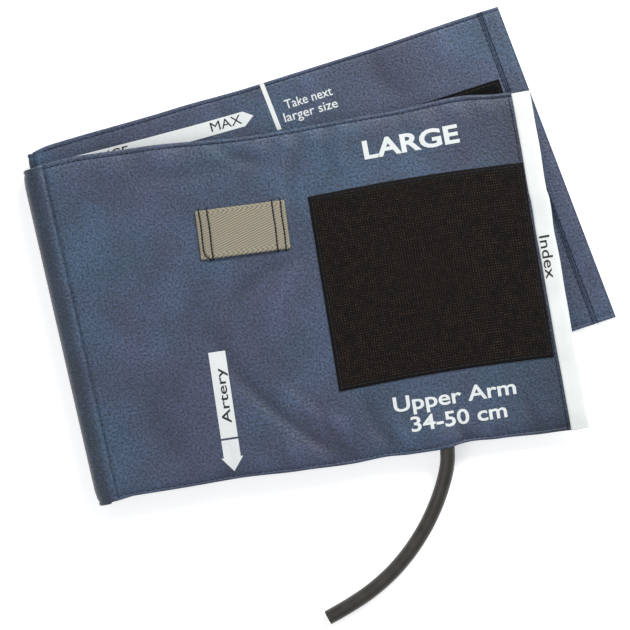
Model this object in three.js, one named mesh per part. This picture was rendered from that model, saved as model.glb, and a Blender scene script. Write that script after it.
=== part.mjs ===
// Blood pressure cuff for a large adult arm, rolled up in four layers as it is stored.
// From the table up: the middle panel, the return panel, the tail and the cover panel.
// The cuff is a sewn sleeve of coated nylon round a rubber bladder with one air hose.
// Millimetres, +Z up. The origin is under the middle of the cuff, on the table.
import * as THREE from "three";

// Sleeve
const WIDTH = 166.7; // across the cuff, along a fold line
const COVER_UPPER_LENGTH = 249.3; // outermost fold line to index edge, along the upper long edge
const COVER_LOWER_LENGTH = 241.2;
const TAIL_UPPER_LENGTH = 241.0;
const TAIL_LOWER_LENGTH = 261.7;
const SHELL = 0.6; // one wall of coated nylon
const PANEL_GAP = 0.4; // air between panels that lie on each other
const LAYER_GAP = 0.3; // air between the layers of one panel
const SLOPE = 1.62; // degrees; tail and cover panel slope down to their free ends

// Bladder
const SHEET = 0.5; // one wall of the rubber bladder
const BLADDER_INSET = 5; // from the cuff's long edges
const BLADDER_END = 14; // from the index edge
const BLADDER_TAIL_END = 6; // from the end of the middle panel

// Folds in plan: where the outermost line meets the upper long edge, and the line's angle to +X
const COVER_FOLD = { x: -2.95, y: -8.2, angle: 85.5 };
const ROLL_FOLD = { x: 64.6, y: -9.0, angle: 86.0 };
const TAIL_FOLD = { x: 1.6, y: -0.8, angle: 86.3 };
const COVER_ANGLE = -8.3; // way of the cover panel's long edges from its fold
const TAIL_UPPER_ANGLE = 0.2;
const TAIL_LOWER_ANGLE = 1.1;
const COVER_FOLD_RADIUS = 8.6;
const COVER_FOLD_BOX = 0.77; // 1 is a round fold; less is boxier, which leaves room for the tail fold in it
const TURN_STEPS = 12;

// Pieces sewn on the cover panel: middle, size and turn in plan
const HOOK_PATCH = { x: 171.5, y: -116.4, length: 105.5, width: 95.5, angle: -8.2, thick: 1.5 };
const GAUGE_STRAP = { x: 91.2, y: -67.5, length: 43.6, width: 23.8, angle: -9.9, thick: 1.0 };
const STRAP_RISE = 0.8;
const STRAP_ROWS = [2, 6, 37.6, 41.6]; // sewn rows, from the strap's left end
const THREAD = 0.6;
const BINDING_WIDTH = 8.4;
const BINDING_WALL = 0.4;

// Pieces sewn on the tail
const LOOP_PATCH = { x: 184, y: -81, length: 98, width: 93, angle: 0.6, thick: 1.0 };
const TAIL_HEM_WIDTH = 10.7;
const TAIL_HEM = 0.5;

// Air hose and the bladder port it is pushed on
const HOSE_RADIUS = 3.6;
const HOSE_BORE = 2.0;
const HOSE_STEPS = 26;
const HOSE_SIDES = 12;
const HOSE_EXIT_U = 0.703; // along the cover panel's lower edge, 0 at the fold
const SWELL_UP = 2.4; // how far the hose lifts the outer shell where it leaves
const SWELL_DOWN = 4.4;
const SWELL_HALF_WIDTH = 20;
const SWELL_DEPTH = 28;

const finish = (color, roughness) => new THREE.MeshStandardMaterial({ color, roughness, metalness: 0 });
const NYLON = finish(0x465270, 0.62);
const LINING = finish(0x3a4560, 0.7);
const RUBBER = finish(0x2a2826, 0.55);
const HOOK = finish(0x1b1715, 0.85);
const LOOP = finish(0x121212, 0.95);
const WEBBING = finish(0xa49d8b, 0.8);
const TAPE = finish(0xe4e9e7, 0.6);
const STITCHING = finish(0x17171a, 0.7);

const rad = THREE.MathUtils.degToRad;
const lerp = THREE.MathUtils.lerp;
const polar = (angle, distance = 1) => new THREE.Vector2(Math.cos(rad(angle)), Math.sin(rad(angle))).multiplyScalar(distance);
const tanSlope = Math.tan(rad(SLOPE));
const cosSlope = Math.cos(rad(SLOPE));

// A closed solid: a grid of cells in u, v and w, with every corner moved to where place(u, v, w) says.
// us and vs list the grid's lines, from 0 to 1.
function solid(name, material, place, us = [0, 1], vs = [0, 1]) {
  const geometry = new THREE.BoxGeometry(1, 1, 1, us.length - 1, vs.length - 1, 1);
  const corners = geometry.attributes.position;
  for (let i = 0; i < corners.count; i++) {
    const u = us[Math.round((corners.getX(i) + 0.5) * (us.length - 1))];
    const v = vs[Math.round((corners.getY(i) + 0.5) * (vs.length - 1))];
    corners.setXYZ(i, ...place(u, v, corners.getZ(i) + 0.5));
  }
  geometry.computeVertexNormals();
  const mesh = new THREE.Mesh(geometry, material);
  mesh.name = name;
  return mesh;
}

// ---- Folds ----
// side is 1 where the fold is at its panels' left and -1 where it is at their right.
function makeFold({ x, y, angle }, side, radius, height, box = 1) {
  const inward = polar(angle - 90, side);
  const outerUpper = new THREE.Vector2(x, y);
  const outerLower = outerUpper.clone().sub(polar(angle, WIDTH));
  const upper = outerUpper.clone().addScaledVector(inward, radius);
  const lower = outerLower.clone().addScaledVector(inward, radius);
  return { side, inward, outerUpper, outerLower, upper, lower, height, box };
}

// Layers of a panel that holds the bladder, from its outer face in: [start, end] in millimetres
const layers = [];
for (const thick of [SHELL, SHEET, SHEET, SHELL]) {
  const start = layers.length ? layers.at(-1)[1] + LAYER_GAP : 0;
  layers.push([start, start + thick]);
}
const [OUTER_SHELL, OUTER_SHEET, INNER_SHEET, INNER_SHELL] = layers;
const THICK = INNER_SHELL[1];
const THIN = 2 * SHELL + PANEL_GAP; // a panel with no bladder

const returnBottom = THICK + PANEL_GAP;
const returnTop = returnBottom + THIN;
const rollRadius = THICK + PANEL_GAP / 2;
const tailEnd = new THREE.Vector2(TAIL_FOLD.x, TAIL_FOLD.y)
  .sub(polar(TAIL_FOLD.angle, WIDTH))
  .add(polar(TAIL_LOWER_ANGLE, TAIL_LOWER_LENGTH));
// The tail's slope ends at the table under its lower corner, which sets how wide the tail fold is.
const tailReach = tailEnd.clone().sub(new THREE.Vector2(TAIL_FOLD.x, TAIL_FOLD.y)).dot(polar(TAIL_FOLD.angle - 90));
const tailInside = (tanSlope * (tailReach - THIN) - returnTop) / (1 + 1 / cosSlope + tanSlope);
const tailRadius = tailInside + THIN;

const coverFold = makeFold(COVER_FOLD, 1, COVER_FOLD_RADIUS, COVER_FOLD_RADIUS, COVER_FOLD_BOX);
const rollFold = makeFold(ROLL_FOLD, -1, rollRadius, rollRadius);
const tailFold = makeFold(TAIL_FOLD, 1, tailRadius, returnTop + tailInside);

// One layer of a fold's round turn, from the panel below, at radii low, to the panel above, at radii high.
function turn(name, material, fold, low, high, inset = 0) {
  const steps = Array.from({ length: TURN_STEPS + 1 }, (_, i) => i / TURN_STEPS);
  const share = inset / WIDTH;
  const place = (u, v, w) => {
    const along = lerp(share, 1 - share, fold.side > 0 ? v : 1 - v);
    const spot = fold.lower.clone().lerp(fold.upper, along);
    const radius = lerp(lerp(low[0], low[1], w), lerp(high[0], high[1], w), u);
    const across = Math.cos(Math.PI * u);
    spot.addScaledVector(fold.inward, -radius * Math.max(Math.sin(Math.PI * u), 0) ** fold.box);
    return [spot.x, spot.y, fold.height - radius * Math.sign(across) * Math.abs(across) ** fold.box];
  };
  return solid(name, material, place, steps);
}

// ---- Panels ----
// A panel is a four-sided sheet. start and end are its left and right edges as [lower, upper] corners.
const FOLD_GAP = 0.3; // between a fold's line and the panel's edge

function makePanel(start, end, height) {
  const plan = (u, v) => start[0].clone().lerp(end[0], u).lerp(start[1].clone().lerp(end[1], u), v);
  return { plan, height };
}

// Height over the table of a sloping panel's face that is offset from the fold's line
const sloping = (fold) => (spot, offset) =>
  fold.height + offset / cosSlope - tanSlope * spot.clone().sub(fold.upper).dot(fold.inward);
const level = (spot, offset) => offset;
const past = (fold) => [fold.lower, fold.upper].map((p) => p.clone().addScaledVector(fold.inward, FOLD_GAP));

const coverEnd = [
  coverFold.outerLower.clone().add(polar(COVER_ANGLE, COVER_LOWER_LENGTH)),
  coverFold.outerUpper.clone().add(polar(COVER_ANGLE, COVER_UPPER_LENGTH)),
];
const tailEndEdge = [
  tailFold.outerLower.clone().add(polar(TAIL_LOWER_ANGLE, TAIL_LOWER_LENGTH)),
  tailFold.outerUpper.clone().add(polar(TAIL_UPPER_ANGLE, TAIL_UPPER_LENGTH)),
];
const cover = makePanel(past(coverFold), coverEnd, sloping(coverFold));
const middle = makePanel(past(coverFold), past(rollFold), level);
const back = makePanel(past(tailFold), past(rollFold), level);
const tail = makePanel(past(tailFold), tailEndEdge, sloping(tailFold));

const coverLength = (COVER_UPPER_LENGTH + COVER_LOWER_LENGTH) / 2;
const middleLength = ROLL_FOLD.x - COVER_FOLD.x;
const tailLength = (TAIL_UPPER_LENGTH + TAIL_LOWER_LENGTH) / 2;

// One layer of a panel, between two offsets; rise(u, v) lifts it.
function layer(name, material, panel, [low, high], options = {}) {
  const { uRange = [0, 1], vRange = [0, 1], us = [0, 1], vs = [0, 1], rise = () => 0 } = options;
  const place = (u, v, w) => {
    const pu = lerp(...uRange, u);
    const pv = lerp(...vRange, v);
    const spot = panel.plan(pu, pv);
    return [spot.x, spot.y, panel.height(spot, lerp(low, high, w)) + rise(pu, pv)];
  };
  return solid(name, material, place, us, vs);
}

// A flat piece sewn on a panel's face: a rectangle in plan
function patch(name, material, panel, { x, y, length, width, angle }, [low, high], options = {}) {
  const { us = [0, 1], rise = () => 0 } = options;
  const place = (u, v, w) => {
    const spot = new THREE.Vector2(x, y).add(polar(angle, (u - 0.5) * length)).add(polar(angle + 90, (v - 0.5) * width));
    return [spot.x, spot.y, panel.height(spot, lerp(low, high, w)) + rise(u)];
  };
  return solid(name, material, place, us);
}

// The hose swells the cover panel where it leaves: 1 at the exit, fading along the edge and inwards.
const swell = (u, v) => {
  const aside = Math.min(Math.abs(u - HOSE_EXIT_U) * coverLength / SWELL_HALF_WIDTH, 1);
  const inside = Math.min(v * WIDTH / SWELL_DEPTH, 1);
  return Math.cos(aside * Math.PI / 2) ** 2 * Math.cos(inside * Math.PI / 2) ** 2;
};
const swellUs = [0, ...[-20, -14, -9, -5, -2, 2, 5, 9, 14, 20].map((d) => HOSE_EXIT_U + d / coverLength), 1];
const swellVs = [0, 4, 8, 12, 16, 21, 28].map((d) => d / WIDTH).concat(1);
const lift = (amount) => ({ us: swellUs, vs: swellVs, rise: (u, v) => amount * swell(u, v) });
const bladderInset = BLADDER_INSET / WIDTH;
const bladderLift = (amount) => ({
  uRange: [0, 1 - BLADDER_END / coverLength],
  vRange: [bladderInset, 1 - bladderInset],
  us: swellUs.slice(0, -1).map((u) => u / (1 - BLADDER_END / coverLength)).concat(1),
  vs: [0, ...swellVs.slice(2, -1).map((v) => (v - bladderInset) / (1 - 2 * bladderInset)), 1],
  rise: (u, v) => amount * swell(u, v),
});

// Offsets from the cover fold's line to the cover panel's layers, and of the tail's from its own
const fromCoverFold = ([a, b]) => [COVER_FOLD_RADIUS - b, COVER_FOLD_RADIUS - a];
const tailOuter = [tailInside, tailInside + SHELL];
const tailInner = [tailRadius - SHELL, tailRadius];

const coverPieces = [
  layer("cover_outer_shell", NYLON, cover, fromCoverFold(OUTER_SHELL), lift(SWELL_UP)),
  layer("cover_inner_shell", LINING, cover, fromCoverFold(INNER_SHELL), lift(-SWELL_DOWN)),
  layer("bladder_front_outer", RUBBER, cover, fromCoverFold(OUTER_SHEET), bladderLift(SWELL_UP)),
  layer("bladder_front_inner", RUBBER, cover, fromCoverFold(INNER_SHEET), bladderLift(-SWELL_DOWN)),
];
const middlePieces = [
  layer("middle_outer_shell", NYLON, middle, OUTER_SHELL),
  layer("middle_inner_shell", LINING, middle, INNER_SHELL),
];
const shortBladder = {
  uRange: [0, 1 - BLADDER_TAIL_END / middleLength],
  vRange: [bladderInset, 1 - bladderInset],
};
middlePieces.push(
  layer("bladder_back_outer", RUBBER, middle, OUTER_SHEET, shortBladder),
  layer("bladder_back_inner", RUBBER, middle, INNER_SHEET, shortBladder),
);
const returnPieces = [
  layer("return_inner_shell", LINING, back, [returnBottom, returnBottom + SHELL]),
  layer("return_outer_shell", NYLON, back, [returnTop - SHELL, returnTop]),
];
const tailPieces = [
  layer("tail_outer_shell", NYLON, tail, tailOuter),
  layer("tail_inner_shell", LINING, tail, tailInner),
];

// ---- Turns of the folds ----
const coverTurn = (name, material, span, inset) =>
  turn(name, material, coverFold, fromCoverFold(span), fromCoverFold(span), inset);
const turnPieces = [
  coverTurn("cover_turn_outer", NYLON, OUTER_SHELL),
  coverTurn("cover_turn_inner", LINING, INNER_SHELL),
  coverTurn("bladder_turn_outer", RUBBER, OUTER_SHEET, BLADDER_INSET),
  coverTurn("bladder_turn_inner", RUBBER, INNER_SHEET, BLADDER_INSET),
  turn("roll_turn_outer", NYLON, rollFold,
    [rollRadius - SHELL, rollRadius], [returnTop - SHELL - rollRadius, returnTop - rollRadius]),
  turn("roll_turn_inner", LINING, rollFold,
    [PANEL_GAP / 2, PANEL_GAP / 2 + SHELL], [PANEL_GAP / 2, PANEL_GAP / 2 + SHELL]),
  turn("tail_turn_outer", NYLON, tailFold, tailOuter, tailOuter),
  turn("tail_turn_inner", LINING, tailFold, tailInner, tailInner),
];

// ---- Pieces sewn on ----
const onCover = (thick, lifted = 0) => [
  COVER_FOLD_RADIUS + LAYER_GAP + lifted,
  COVER_FOLD_RADIUS + LAYER_GAP + lifted + thick,
];
const strapArch = (u) => STRAP_RISE * Math.min(1, 6 * u, 6 * (1 - u));
const strapUs = [0, 1 / 6, 5 / 6, 1];
coverPieces.push(
  patch("hook_patch", HOOK, cover, HOOK_PATCH, onCover(HOOK_PATCH.thick)),
  patch("gauge_strap", WEBBING, cover, GAUGE_STRAP, onCover(GAUGE_STRAP.thick), { us: strapUs, rise: strapArch }),
);
STRAP_ROWS.forEach((distance, i) => {
  const middleOf = distance - GAUGE_STRAP.length / 2;
  const at = new THREE.Vector2(GAUGE_STRAP.x, GAUGE_STRAP.y).add(polar(GAUGE_STRAP.angle, middleOf));
  const row = { x: at.x, y: at.y, length: THREAD, width: GAUGE_STRAP.width - 1, angle: GAUGE_STRAP.angle };
  const top = GAUGE_STRAP.thick + LAYER_GAP + strapArch((distance + Math.sign(-middleOf) * THREAD) / GAUGE_STRAP.length);
  coverPieces.push(patch(`strap_stitch_row_${i + 1}`, STITCHING, cover, row, onCover(THREAD, top)));
});

// The binding is a tape folded over the index edge: a channel section along the edge.
function makeBinding() {
  const reach = THICK / 2 + LAYER_GAP;
  const wall = reach + BINDING_WALL;
  const section = new THREE.Shape([
    [0, reach], [BINDING_WIDTH, reach], [BINDING_WIDTH, -reach], [0, -reach],
    [0, -wall], [BINDING_WIDTH + BINDING_WALL, -wall], [BINDING_WIDTH + BINDING_WALL, wall], [0, wall],
  ].map((p) => new THREE.Vector2(...p)));
  const edge = coverEnd[1].clone().sub(coverEnd[0]);
  const geometry = new THREE.ExtrudeGeometry(section, { depth: edge.length(), bevelEnabled: false });
  const mesh = new THREE.Mesh(geometry, TAPE);
  mesh.name = "index_binding";
  // section x runs out past the edge, section y is up, and the extrusion runs down the edge
  const down = new THREE.Vector3(-edge.x, -edge.y, 0).normalize();
  const slopeOut = cover.height(new THREE.Vector2(-down.y, down.x), 0) - cover.height(new THREE.Vector2(), 0);
  const slopeDown = cover.height(new THREE.Vector2(down.x, down.y), 0) - cover.height(new THREE.Vector2(), 0);
  const out = new THREE.Vector3(-down.y, down.x, slopeOut).normalize();
  down.z = slopeDown;
  const up = new THREE.Vector3().crossVectors(down, out).normalize();
  const start = coverEnd[1].clone().addScaledVector(new THREE.Vector2(out.x, out.y), LAYER_GAP - BINDING_WIDTH);
  mesh.matrix.makeBasis(out, up, down.normalize());
  mesh.matrix.setPosition(start.x, start.y, cover.height(start, COVER_FOLD_RADIUS - THICK / 2));
  mesh.matrix.decompose(mesh.position, mesh.quaternion, mesh.scale);
  return mesh;
}
coverPieces.push(makeBinding());

const onTail = (thick) => [tailRadius + LAYER_GAP, tailRadius + LAYER_GAP + thick];
tailPieces.push(
  patch("loop_patch", LOOP, tail, LOOP_PATCH, onTail(LOOP_PATCH.thick)),
  layer("tail_hem", NYLON, tail, onTail(TAIL_HEM), { uRange: [1 - TAIL_HEM_WIDTH / tailLength, 1] }),
);

// ---- Air hose and port ----
// The hose leaves the lower seam of the cover panel, comes down to the table and lies on it in one bend.
const HOSE_ROUTE = [
  [155.1, -195.2, 9.8], [154.6, -197.3, 9.8], [153.9, -199.7, 9.7], [152.6, -204.0, 9.1], [150.2, -209.3, 7.8],
  [146.8, -215.0, 6.2], [143.0, -220.5, 4.8], [138.8, -225.7, 3.95], [134.1, -230.8, 3.65], [128.9, -235.6, 3.65],
  [123.4, -240.1, 3.65], [117.7, -244.1, 3.65], [111.8, -247.7, 3.65], [105.6, -250.8, 3.65],
  [99.2, -253.5, 3.65], [92.4, -255.8, 3.65], [83.4, -258.2, 3.65], [74.1, -260.2, 3.65],
].map((p) => new THREE.Vector3(...p));

function ring(radius, sides, shape = new THREE.Shape()) {
  for (let i = 0; i < sides; i++) {
    const angle = 2 * Math.PI * i / sides;
    const spot = [radius * Math.cos(angle), radius * Math.sin(angle)];
    if (i) shape.lineTo(...spot);
    else shape.moveTo(...spot);
  }
  shape.closePath();
  return shape;
}

function makeHose() {
  const section = ring(HOSE_RADIUS, HOSE_SIDES);
  section.holes.push(ring(HOSE_BORE, HOSE_SIDES, new THREE.Path()));
  const geometry = new THREE.ExtrudeGeometry(section, {
    steps: HOSE_STEPS,
    extrudePath: new THREE.CatmullRomCurve3(HOSE_ROUTE, false, "centripetal"),
  });
  const mesh = new THREE.Mesh(geometry, RUBBER);
  mesh.name = "air_hose";
  return mesh;
}

// The port is a moulded nipple: its barb is inside the hose and its tapered foot inside the bladder.
function makePort() {
  const BORE = 0.8;
  const profile = [
    [BORE, -4.5], [1.3, -4.5], [1.5, -3.5], [1.5, 0.35], [2.6, 0.35], [2.6, 1.6], [2.0, 1.8], [1.2, 9], [BORE, 9], [BORE, -4.5],
  ].map((p) => new THREE.Vector2(...p));
  const mesh = new THREE.Mesh(new THREE.LatheGeometry(profile, 12), RUBBER);
  mesh.name = "bladder_port";
  const inwards = HOSE_ROUTE[0].clone().sub(HOSE_ROUTE[1]).normalize();
  mesh.quaternion.setFromUnitVectors(new THREE.Vector3(0, 1, 0), inwards);
  mesh.position.copy(HOSE_ROUTE[0]);
  return mesh;
}
coverPieces.push(makePort());
const hose = makeHose();

// ---- The cuff, moved so that the origin is under the middle of everything but the hose ----
const cuff = new THREE.Group();
cuff.add(...middlePieces, ...returnPieces, ...tailPieces, ...coverPieces, ...turnPieces);
cuff.updateMatrixWorld(true);
const extent = new THREE.Box3().setFromObject(cuff, true);
const centre = extent.getCenter(new THREE.Vector3());
cuff.add(hose);
cuff.position.set(-centre.x, -centre.y, -extent.min.z);
cuff.updateMatrixWorld(true);

// The cover panel turns about its fold. The tail is drawn out square to its own fold, which unrolls the
// return panel, so it travels twice as far as the two hidden folds are apart.
const foldWay = polar(COVER_FOLD.angle);
const pullWay = polar((ROLL_FOLD.angle + TAIL_FOLD.angle) / 2 - 90);
const foldsApart = rollFold.outerUpper.clone().sub(tailFold.outerUpper).dot(pullWay);
cuff.userData = {
  coverHinge: {
    point: [coverFold.upper.x - centre.x, coverFold.upper.y - centre.y, coverFold.height - extent.min.z],
    axis: [-foldWay.x, -foldWay.y, 0],
  },
  tailPull: { axis: [pullWay.x, pullWay.y, 0], travel: 2 * foldsApart },
};

export default cuff;
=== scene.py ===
import math

import bmesh
import bpy
import numpy as np
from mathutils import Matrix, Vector
from mathutils.bvhtree import BVHTree


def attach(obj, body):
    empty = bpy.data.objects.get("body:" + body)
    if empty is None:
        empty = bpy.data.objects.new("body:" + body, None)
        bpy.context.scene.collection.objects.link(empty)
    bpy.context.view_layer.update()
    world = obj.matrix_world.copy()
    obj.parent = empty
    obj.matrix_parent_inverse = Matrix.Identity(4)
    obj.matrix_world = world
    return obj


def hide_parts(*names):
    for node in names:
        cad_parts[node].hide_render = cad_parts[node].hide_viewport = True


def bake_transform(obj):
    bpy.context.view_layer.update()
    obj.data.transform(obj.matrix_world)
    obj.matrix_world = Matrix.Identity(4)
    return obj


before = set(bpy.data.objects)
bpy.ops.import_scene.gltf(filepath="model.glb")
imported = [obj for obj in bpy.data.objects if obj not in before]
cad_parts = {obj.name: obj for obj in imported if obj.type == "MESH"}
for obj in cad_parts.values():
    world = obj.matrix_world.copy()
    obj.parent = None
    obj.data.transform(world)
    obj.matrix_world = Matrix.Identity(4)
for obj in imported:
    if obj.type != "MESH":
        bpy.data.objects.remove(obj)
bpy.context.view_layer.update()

# ---- Table, light and camera ----
# The rolled cuff lies on a white table and is looked at from straight above.
# Two big soft lamps stand either side of it, and the room is bright.
MM = 0.001
TABLE_SIZE = 4.0
TABLE_GLOW = 0.5  # the table is lit from below as well, which washes the shadows out
CAMERA_HEIGHT = 1.2
CAMERA_OVER = (-0.00593, -0.01257)
CAMERA_TURN = math.radians(-17.4)
CAMERA_LENS = 140
LAMPS = {  # place, size in metres, power
    "window_lamp": ((0.75, 0.75, 0.85), 0.6, 17),
    "fill_lamp": ((-0.95, -0.45, 1.3), 1.4, 8),
}


def srgb(code):
    """A colour written as six hex digits, as linear red, green, blue and alpha."""
    parts = [int(code[i : i + 2], 16) / 255 for i in (0, 2, 4)]
    return (*[c / 12.92 if c <= 0.04045 else ((c + 0.055) / 1.055) ** 2.4 for c in parts], 1.0)


def new_material(name):
    material = bpy.data.materials.new(name)
    material.use_nodes = True
    nodes = material.node_tree.nodes
    return material, nodes, material.node_tree.links.new, nodes["Principled BSDF"]


def add(nodes, kind, **values):
    """A new node with values set on its input sockets, their names written with underscores."""
    node = nodes.new(kind)
    for socket, value in values.items():
        node.inputs[socket.replace("_", " ")].default_value = value
    return node


def new_object(name, mesh):
    piece = bpy.data.objects.new(name, mesh)
    bpy.context.scene.collection.objects.link(piece)
    return piece


def paper_white():
    material, nodes, link, shader = new_material("paper_white")
    grain = add(nodes, "ShaderNodeTexNoise", Scale=60)
    tone = add(nodes, "ShaderNodeMapRange", To_Min=0.80, To_Max=0.90)
    link(grain.outputs["Fac"], tone.inputs["Value"])
    link(tone.outputs["Result"], shader.inputs["Roughness"])
    shader.inputs["Base Color"].default_value = srgb("fafafa")
    shader.inputs["Specular IOR Level"].default_value = 0.1
    shader.inputs["Emission Color"].default_value = (1, 1, 1, 1)
    shader.inputs["Emission Strength"].default_value = TABLE_GLOW
    return material


bench = bmesh.new()
bmesh.ops.create_grid(bench, x_segments=2, y_segments=2, size=TABLE_SIZE / 2)
bench_mesh = bpy.data.meshes.new("table")
bench.to_mesh(bench_mesh)
bench.free()
bench_mesh.materials.append(paper_white())
new_object("table", bench_mesh)

scene = bpy.context.scene
scene.view_settings.view_transform = "Standard"
room = bpy.data.worlds.new("room")
room.use_nodes = True
room.node_tree.nodes["Background"].inputs["Color"].default_value = (0.93, 0.96, 1.0, 1.0)
room.node_tree.nodes["Background"].inputs["Strength"].default_value = 0.36
scene.world = room

for lamp_name, (place, size, power) in LAMPS.items():
    lamp = bpy.data.lights.new(lamp_name, "AREA")
    lamp.size = size
    lamp.energy = power
    holder = bpy.data.objects.new(lamp_name, lamp)
    scene.collection.objects.link(holder)
    holder.location = place
    holder.rotation_mode = "QUATERNION"
    holder.rotation_quaternion = (-Vector(place)).to_track_quat("-Z", "Y")

camera = bpy.data.objects.new("camera", bpy.data.cameras.new("camera"))
camera.data.lens = CAMERA_LENS
camera.data.sensor_width = 36
camera.location = (*CAMERA_OVER, CAMERA_HEIGHT)
camera.rotation_euler = (0, 0, CAMERA_TURN)
scene.collection.objects.link(camera)
scene.camera = camera

# ---- Air hose ----
# A length of extruded rubber hose, 7.2 mm across with a 4 mm bore, pushed on the bladder's port.
# It comes out of the lower seam, drops to the table and lies there in one bend, cut square at its end.
HOSE_RADIUS = 3.6
HOSE_BORE = 2.0
HOSE_BORE_DEPTH = 22.0
HOSE_SIDES = 28
HOSE_ROUTE = [
    (36.87, -90.57, 9.8), (36.37, -92.67, 9.8), (35.67, -95.07, 9.7), (34.37, -99.37, 9.1),
    (31.97, -104.67, 7.8), (28.57, -110.37, 6.2), (24.77, -115.87, 4.8), (20.57, -121.07, 3.95),
    (15.87, -126.17, 3.65), (10.67, -130.97, 3.65), (5.17, -135.47, 3.65), (-0.53, -139.47, 3.65),
    (-6.43, -143.07, 3.65), (-12.63, -146.17, 3.65), (-19.03, -148.87, 3.65), (-25.83, -151.17, 3.65),
    (-34.83, -153.57, 3.65), (-44.13, -155.57, 3.65),
]


def through(points, steps=6):
    """A smooth line through the points, with a few steps between each two."""
    p = np.array(points, float)
    p = np.vstack([2 * p[0] - p[1], p, 2 * p[-1] - p[-2]])
    line = []
    for a, b, c, d in zip(p, p[1:], p[2:], p[3:]):
        for t in np.arange(steps) / steps:
            line.append(0.5 * (2 * b + (c - a) * t + (2 * a - 5 * b + 4 * c - d) * t**2
                               + (3 * b - a - 3 * c + d) * t**3))
    line.append(p[-2])
    return np.array(line)


def rings_along(line, radius, sides):
    """Rings of points square to a line, kept from twisting by a level side direction."""
    ways = np.gradient(line, axis=0)
    ways /= np.linalg.norm(ways, axis=1)[:, None]
    aside = np.cross(ways, (0, 0, 1))
    aside /= np.linalg.norm(aside, axis=1)[:, None]
    above = np.cross(aside, ways)
    angles = 2 * np.pi * np.arange(sides) / sides
    return (line[:, None] + radius * (np.cos(angles)[None, :, None] * aside[:, None]
                                      + np.sin(angles)[None, :, None] * above[:, None]))


def hose_mesh():
    line = through(HOSE_ROUTE)
    wall = rings_along(line, HOSE_RADIUS, HOSE_SIDES)
    bevel = rings_along(line, HOSE_RADIUS - 0.25, HOSE_SIDES)[-1]
    wall[-1] += (wall[-2] - wall[-1]) * 0.12
    inside = rings_along(line, HOSE_BORE, HOSE_SIDES)[::-1]
    from_end = np.cumsum(np.linalg.norm(np.diff(line[::-1], axis=0), axis=1))
    deep = int(np.searchsorted(from_end, HOSE_BORE_DEPTH))
    rings = [*wall, bevel, *inside[: deep + 1]]
    points = np.vstack(rings)
    count = len(rings)
    faces = []
    for i in range(count - 1):
        for j in range(HOSE_SIDES):
            k = (j + 1) % HOSE_SIDES
            here, there = i * HOSE_SIDES, (i + 1) * HOSE_SIDES
            faces.append((here + j, there + j, there + k, here + k))
    faces.append(tuple(range(HOSE_SIDES)))
    faces.append(tuple(reversed(range((count - 1) * HOSE_SIDES, count * HOSE_SIDES))))
    return closed_mesh("hose", points, faces)


def closed_mesh(name, points, faces, uvs=None, slots=None):
    """A mesh in metres from points in millimetres, smooth, with its faces turned outwards."""
    mesh = bpy.data.meshes.new(name)
    mesh.from_pydata((np.asarray(points) * MM).tolist(), [], faces)
    if slots is not None:
        mesh.polygons.foreach_set("material_index", slots)
    if uvs is not None:
        layer = mesh.uv_layers.new(name="cloth")
        corner = np.zeros(len(mesh.loops), int)
        mesh.loops.foreach_get("vertex_index", corner)
        layer.data.foreach_set("uv", (np.asarray(uvs)[corner] * MM).ravel())
    work = bmesh.new()
    work.from_mesh(mesh)
    bmesh.ops.recalc_face_normals(work, faces=work.faces)
    work.to_mesh(mesh)
    work.free()
    mesh.shade_smooth()
    return mesh


def ramp(nodes, link, value, low, high, low_at=0.0, high_at=1.0):
    """A ramp between two colours, driven by a value."""
    tone = nodes.new("ShaderNodeValToRGB")
    for element, code, spot in zip(tone.color_ramp.elements, (low, high), (low_at, high_at)):
        element.position = spot
        element.color = srgb(code)
    link(value, tone.inputs["Fac"])
    return tone


def add_bump(nodes, link, shader, height, strength, distance):
    bump = add(nodes, "ShaderNodeBump", Strength=strength, Distance=distance)
    link(height, bump.inputs["Height"])
    link(bump.outputs["Normal"], shader.inputs["Normal"])


def hose_rubber():
    material, nodes, link, shader = new_material("hose_rubber")
    place = nodes.new("ShaderNodeTexCoord")
    dust = add(nodes, "ShaderNodeTexNoise", Scale=140, Detail=4)
    link(place.outputs["Object"], dust.inputs["Vector"])
    tone = ramp(nodes, link, dust.outputs["Fac"], "2b2824", "3f3b35", 0.3, 0.75)
    link(tone.outputs["Color"], shader.inputs["Base Color"])
    skin = add(nodes, "ShaderNodeTexNoise", Scale=2500)
    link(place.outputs["Object"], skin.inputs["Vector"])
    rough = add(nodes, "ShaderNodeMapRange", To_Min=0.36, To_Max=0.56)
    link(dust.outputs["Fac"], rough.inputs["Value"])
    link(rough.outputs["Result"], shader.inputs["Roughness"])
    add_bump(nodes, link, shader, skin.outputs["Fac"], 0.25, 0.0001)
    return material


hose = new_object("hose", hose_mesh())
hose.data.materials.append(hose_rubber())
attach(hose, "cover_panel")
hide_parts("air_hose")

# ---- Nylon sleeve: cover panel, cover fold and middle panel ----
# One flat sewn tube of coated nylon with a satin face, turned right side out and topstitched near its edges.
# The bladder lies in it, so it is full in the middle and pinched along both long edges.
WIDTH = 166.7
SLOPE = math.tan(math.radians(1.62))  # the cover panel and the tail slope down to their free ends
COVER_FOLD = ((-121.183, 96.429), 85.5, 8.6)  # upper end of the fold's outermost line, its angle, its radius
ROLL_FOLD = ((-53.633, 95.629), 86.0, 3.3)
COVER_THICK = 3.1
COVER_END = ((104.412, -104.576), (125.507, 60.441))  # lower and upper corner at the index edge
COVER_CUT = tuple((x - 1.19, y + 0.15) for x, y in COVER_END)  # the cloth stops 1.2 mm inside its binding
FOLD_BOX = 0.77  # the cover fold is boxier than a round one
FOLD_GAP = 0.3
SEAM_AT = [0, 0.3, 0.8, 1.4, 1.9, 2.6, 4, 8]  # in from a long edge
SEAM_SHARE = [0.16, 0.38, 0.52, 0.50, 0.30, 0.52, 0.76, 1.0]  # share of the full thickness there
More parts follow.
